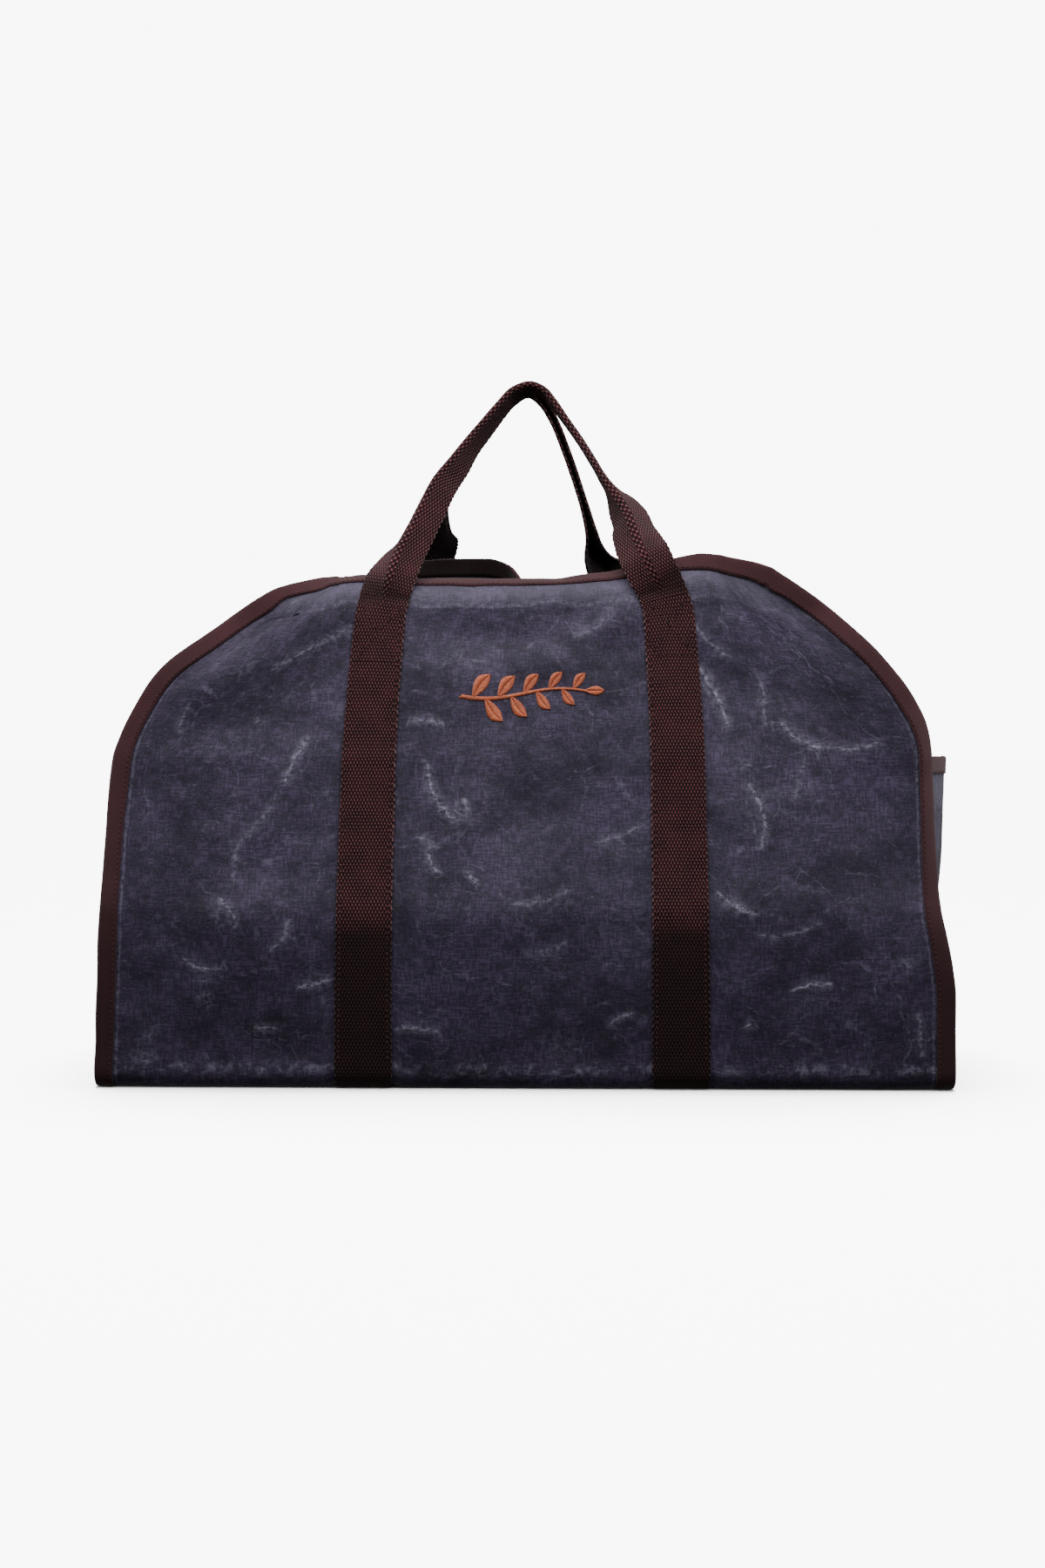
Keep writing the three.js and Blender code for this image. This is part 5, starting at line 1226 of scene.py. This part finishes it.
for name, panel, rows, top in (
    ("front", FRONT, FRONT_HANDLE, ROW[TOP_ROW - CREASE_ROW]),
    ("back", BACK, BACK_HANDLE, ROW[LAST_ROW - TOP_ROW + CREASE_ROW]),
):
    side = panel["side"]
    left, left_out = sewn_strap(side, -1, top)
    right, right_out = sewn_strap(side, 1, top)
    middle_of = len(WEAVE) // 2
    loose, loose_out = free_strap(panel, rows, left[-1, middle_of], right[-1, middle_of])
    lines = np.concatenate([left, loose, right[::-1]])
    outs = np.concatenate([left_out, loose_out, right_out[::-1]])
    stations = len(lines)
    start_outs = outs.copy()
    joints = np.array([len(left) - 0.5, len(left) + len(loose) - 0.5])
    near = np.exp(-((np.abs(np.arange(stations)[:, None] - joints).min(axis=1) / 5) ** 2))[:, None, None]
    near[0] = near[-1] = 0
    for _ in range(JOINT_PASSES):
        for values in (lines, outs):
            mean = (np.roll(values, 1, axis=0) + values + np.roll(values, -1, axis=0)) / 3
            values[:] = mix(values, mean, near)
    outs = unit(outs)
    run = run_along(lines[:, middle_of])
    leaves, returns = run[len(left) - 1], run[len(left) + len(loose)]
    along = np.linspace(0, run[-1], int(run[-1] / FINE_STATION))
    lines, outs = curve(run, lines, along), unit(curve(run, outs, along))
    # The webbing buckles where it leaves the panel, and its selvedges wave with every second pick.
    from_start, from_end = np.abs(along - leaves - BUCKLE_AT), np.abs(along - returns + BUCKLE_AT)
    from_joint = np.minimum(from_start, from_end)[:, None]
    buckle = np.exp(-(((from_joint + BUCKLE_SLANT * WEAVE) / BUCKLE_LENGTH) ** 2))
    lines = lines - outs * (BUCKLE * buckle)[..., None]
    at_edge = smooth((np.abs(WEAVE) - PICK_WAVE_FROM) / 0.1)
    wave = PICK_WAVE * np.sin(along * math.pi / BEAD_ALONG)[:, None] * at_edge
    lines = lines + unit(np.gradient(lines, axis=1)) * (wave * np.sign(WEAVE))[..., None]
    outs = unit(np.cross(np.gradient(lines, axis=0), np.gradient(lines, axis=1)))
    outs = outs * np.sign(np.sum(outs * curve(run, start_outs, along), axis=-1, keepdims=True))
    half = WEBBING / 2 * EDGE_THIN[:, None]
    sections = np.concatenate([lines + outs * half, (lines - outs * half)[:, ::-1]], axis=1)
    for last in (0, -1):
        sections[last, :, 1] = side * GAP / 2
    spots_across = np.concatenate([WEAVE, WEAVE[::-1]]) * WEBBING_WIDTH / 2
    spots = np.stack(np.meshgrid(spots_across, along), axis=-1).reshape(-1, 2)
    points = sections.reshape(-1, 3)
    faces = facing_out(points, loft(sections, False))
    # Painted shade: a shadow across the straps' foot, shade in the crease where they leave the panel, and on
    # the inner faces up to the mouth.
    foot_shade = FOOT_SHADE * smooth((FOOT_HEIGHT + FOOT_FADE - sections[:, : len(WEAVE), 2]) / FOOT_FADE)
    outer_shade = np.maximum(foot_shade, JOINT_SHADE * buckle)
    inner = sections[:, len(WEAVE) :]
    mouth = np.where(inner[..., 0] > 0, MOUTH_RIGHT, MOUTH_LEFT)
    above_mouth = smooth((inner[..., 2] - mouth) / MOUTH_FADE)
    inner_shade = mix(INNER_SHADE, GRIP_SHADE, above_mouth)
    shades = np.concatenate([outer_shade, inner_shade], axis=1).ravel()
    strap, node_name = f"{name}_strap", f"{name}_handle"
    add_piece(strap, points, faces, spots, cotton_webbing, "webbing", node_name, shade=shades)

    # Each sewn part has a seam along both selvedges, and a crossed box of stitches under the flap.
    surface = sections[:, : len(WEAVE)]
    routes = []
    for foot, head in ((SEAM_FOOT, leaves), (run[-1] - SEAM_FOOT, returns)):
        up = 1 if head > foot else -1
        top, low = head - 2 * up, head - (2 + BOX) * up
        routes += [(foot, aside, top, aside) for aside in (-SEAM_ASIDE, SEAM_ASIDE)]
        routes += [(at, -SEAM_ASIDE, at, SEAM_ASIDE) for at in (low, top)]
        routes += [(low, -SEAM_ASIDE, top, SEAM_ASIDE), (low, SEAM_ASIDE, top, -SEAM_ASIDE)]
    sewn = []
    for from_along, from_aside, to_along, to_aside in routes:
        share = np.linspace(0, 1, 200)
        row = np.interp(mix(from_along, to_along, share), along, np.arange(len(along)))
        column = np.interp(mix(from_aside, to_aside, share), WEAVE * WEBBING_WIDTH / 2, np.arange(len(WEAVE)))
        at, away = sample(surface, row, column), sample(outs, row, column)
        sewn.append(seam(at, away, STITCH, STITCH_GAP, STRAP_THREAD[0]))
    paths, away = (np.concatenate(part) for part in zip(*sewn))
    points, faces = threads_of(paths, away, *STRAP_THREAD[1:])
    add_piece(f"{name}_strap_stitches", points, faces, points[:, :2], sewing_thread, "webbing")

# The embroidery: a plain sprig of leaves in satin stitch, rayon thread laid side by side from each
# leaf's rib to its edge, so that it stands up from the cloth.
SPRIG_HEIGHT = 274  # of its stem above the floor
SPRIG_LENGTH = 88
LEAF_LENGTH, LEAF_HALF = 21, 4.7
THREAD_PITCH = 0.72
SPRIG_RISE = 0.85
STEM_WAVE, STEM_HALF = 3.5, 1.5
STEM_SLANT = 1.3  # how far a stem's thread leans, and its pitch against the leaves'
STEM_TIP, LEAF_TIP = 0.5, 0.68  # size of the stem and of the leaves at the sprig's tip
LEAF_TURN = math.radians(52)  # from the stem
LEAF_BOW, LEAF_SLANT = 1.6, 0.75  # of a leaf's rib, and of its threads against their length
SPRIG_THREAD, SPRIG_SINK = (0.46, 0.4), 0.2  # half width and half height, and how deep it starts


def place_on_front(x, z):
    """The fine grid's row and column at a place of the front panel, by repeated correction."""
    top = ROW[TOP_ROW]
    middle = COLUMN[LAST_COLUMN // 2]
    row = np.interp(-z, -cloth_grid[:top, middle, 2], np.arange(top))
    column = np.interp(x, cloth_grid[top // 3, :, 0], np.arange(len(across)))
    for _ in range(8):
        here = sample(cloth_grid, row, column)
        row = row + (here[..., 2] - z) / THREAD_STEP * 0.9
        column = column + (x - here[..., 0]) / THREAD_STEP * 0.9
    return row, column


def stem_height(x):
    """Height of the stem's middle line over x: a slow wave."""
    return SPRIG_HEIGHT + STEM_WAVE * np.sin(x / 17)


starts, ends = [], []
stem_x = np.arange(-SPRIG_LENGTH / 2, SPRIG_LENGTH / 2, THREAD_PITCH * STEM_SLANT)
taper = mix(STEM_TIP, 1, smooth((SPRIG_LENGTH / 2 - stem_x) / SPRIG_LENGTH)) * STEM_HALF
for found, lean, aside in ((starts, -STEM_SLANT, -taper), (ends, STEM_SLANT, taper)):
    found.append(np.stack([stem_x + lean, stem_height(stem_x + lean) + aside], axis=-1))
LEAVES = [(-36, 1), (-27, -1), (-18, 1), (-9, -1), (0, 1), (9, -1), (18, 1), (27, -1), (35, 1), (43, 0)]
for leaf_x, way in LEAVES:
    size = mix(1, LEAF_TIP, smooth((leaf_x + 40) / 80))
    angle = LEAF_TURN * way
    rib = np.arange(0.06, 0.99, THREAD_PITCH / (LEAF_LENGTH * size))
    half = LEAF_HALF * size * np.sin(math.pi * rib**0.8)
    length = LEAF_LENGTH * size * rib
    bow = LEAF_BOW * size * np.sin(math.pi * rib) * way
    along_leaf = np.array([math.cos(angle), math.sin(angle)])
    across_leaf = np.array([-math.sin(angle), math.cos(angle)])
    base = np.array([leaf_x, stem_height(leaf_x)])
    for turn in (-1, 1):
        edge_length, edge_half = length + LEAF_SLANT * half, bow + turn * half
        starts.append(base + length[:, None] * along_leaf + bow[:, None] * across_leaf)
        ends.append(base + edge_length[:, None] * along_leaf + edge_half[:, None] * across_leaf)
starts, ends = np.concatenate(starts), np.concatenate(ends)
share = np.linspace(0, 1, 5)
flat = mix(starts[:, None], ends[:, None], share[:, None])
row, column = place_on_front(flat[..., 0], flat[..., 1])
away = unit(sample(cloth_out, row, column))
arch = SPRIG_RISE * np.sqrt(np.sin(math.pi * np.clip(share, 0.02, 0.98))) - SPRIG_SINK
paths = sample(cloth_grid, row, column) + away * (CANVAS / 2 + arch)[:, None]
points, faces = threads_of(paths, away, *SPRIG_THREAD)

# Rayon embroidery thread: burnt orange, with a soft shine along the laid threads painted into its colour as
# pale flecks.
RUST, DEEP_RUST, SHINE_RUST = "#c0592c", "#8f3d1e", "#dd8350"
rayon_thread, tree, shader = blank("rayon_thread")
spot = node(tree, "TexCoord", take="Object")
ground = node(tree, "TexNoise", {"Vector": spot, "Scale": 1000 / 6, "Detail": 3})
ground = node(tree, "Mix", {0: ground, 6: linear(DEEP_RUST), 7: linear(RUST)}, **COLOURS)
# Painted shine: pale flecks in the colour.
painted_shine = node(tree, "TexNoise", {"Vector": spot, "Scale": 1000 / 1.5, "Detail": 2})
painted_shine = node(tree, "MapRange", [painted_shine, 0.5, 0.75, 0, 0.6], **SOFT)
ground = node(tree, "Mix", {0: painted_shine, 6: ground, 7: linear(SHINE_RUST)}, **COLOURS)
tree.links.new(ground, shader.inputs["Base Color"])
shader.inputs["Roughness"].default_value = 0.5
shader.inputs["Sheen Weight"].default_value = 0.3
add_piece("leaf_embroidery", points, faces, points[:, :2], rayon_thread, "waxed_canvas")

# The main cloth's flat size: its length over both panels and the base, by the carrier's length.
steps_down, steps_across = np.diff(cloth_grid, axis=0)[:, :-1], np.diff(cloth_grid, axis=1)[:-1]
cloth_area = np.linalg.norm(np.cross(steps_down, steps_across), axis=-1).sum() * MM**2
cut = (LENGTH * MM, np.linalg.norm(steps_down, axis=-1).sum(axis=0).max() * MM)
cloth_area = min(cloth_area, cut[0] * cut[1])

# The studio: a white paper floor in soft light, as for a catalogue picture. The camera sees the
# room as pure white, and the object is lit by far less.
FLOOR_HALF = 30
SEEN_WHITE = 8.8  # what the camera sees behind the object
FLOOR_LIGHT = 27.5  # of a light from above that falls on the floor alone
FLOOR_LIGHT_WIDE, FLOOR_LIGHT_TURN = math.radians(44), math.radians(-13)
ROOM_TOP, ROOM_SIDE, ROOM_FLOOR = 1, 0.2, 0.12  # what lights the object, from above to below
floor_mesh = bpy.data.meshes.new("floor")
corners = [(x * FLOOR_HALF, y * FLOOR_HALF, 0) for x, y in ((-1, -1), (1, -1), (1, 1), (-1, 1))]
floor_mesh.from_pydata(corners, [], [(0, 1, 2, 3)])
floor = in_scene("floor", floor_mesh)
floor.visible_diffuse = False
floor.visible_glossy = False
paper, tree, shader = blank("white_paper")
shader.inputs["Base Color"].default_value = linear("#f6f6f6")
shader.inputs["Roughness"].default_value = 0.95
shader.inputs["Specular IOR Level"].default_value = 0
floor_mesh.materials.append(paper)

world = bpy.data.worlds.new("studio")
bpy.context.scene.world = world
world.use_nodes = True
tree = world.node_tree
background = tree.nodes["Background"]
direction = node(tree, "TexCoord", take="Generated")
upward = node(tree, "SeparateXYZ", [direction], "Z")
below = node(tree, "MapRange", [upward, -0.6, 0.1, ROOM_FLOOR, ROOM_SIDE], **SOFT)
above = node(tree, "MapRange", [upward, 0.1, 0.9, 0, ROOM_TOP - ROOM_SIDE], **SOFT)
room = node(tree, "Math", [below, above], **PLUS)
seen = node(tree, "LightPath", take="Is Camera Ray")
strength = node(tree, "Mix", {0: seen, 2: room, 3: SEEN_WHITE})
tree.links.new(strength, background.inputs["Strength"])
background.inputs["Color"].default_value = (1, 1, 1, 1)

# A wide soft light on the floor alone, from above and a little behind, a softbox close over the
# front, so that the light fades towards the floor, and a small card on each side for the ends.
overhead_data = bpy.data.lights.new("overhead", "SUN")
overhead_data.energy = FLOOR_LIGHT
overhead_data.angle = FLOOR_LIGHT_WIDE
overhead = in_scene("overhead", overhead_data)
overhead.rotation_euler = (FLOOR_LIGHT_TURN, 0, 0)
floor_alone = bpy.data.collections.new("floor_alone")
floor_alone.objects.link(floor)
overhead.light_linking.receiver_collection = floor_alone

for name, place, turn, wide, high, watts in (
    ("softbox", (0, -0.52, 1.02), (math.radians(30), 0, 0), 1.3, 0.4, 11.5),
    ("right_card", (1.2, 0.05, 0.45), (0, math.radians(90), 0), 0.5, 0.3, 6),
    ("left_card", (-1.2, 0.05, 0.6), (0, math.radians(-90), 0), 0.5, 0.3, 6),
):
    card_data = bpy.data.lights.new(name, "AREA")
    card_data.shape = "RECTANGLE"
    card_data.size, card_data.size_y = wide, high
    card_data.energy = watts
    card = in_scene(name, card_data)
    card.location, card.rotation_euler = place, turn

# The camera, in metres: a little below the carrier's middle height, and turned slightly down.
CAMERA_AWAY, CAMERA_HEIGHT, CAMERA_ASIDE = 1.63, 0.24, -0.0033
CAMERA_YAW, CAMERA_TILT = math.radians(1.6), math.radians(1.1)
camera_data = bpy.data.cameras.new("camera")
camera_data.lens = 50
camera_data.sensor_width = 36
camera = in_scene("camera", camera_data)
camera_x = CAMERA_AWAY * math.sin(CAMERA_YAW) + CAMERA_ASIDE
camera.location = (camera_x, -CAMERA_AWAY * math.cos(CAMERA_YAW), CAMERA_HEIGHT)
camera.rotation_euler = (math.pi / 2 - CAMERA_TILT, 0, CAMERA_YAW)
bpy.context.scene.camera = camera
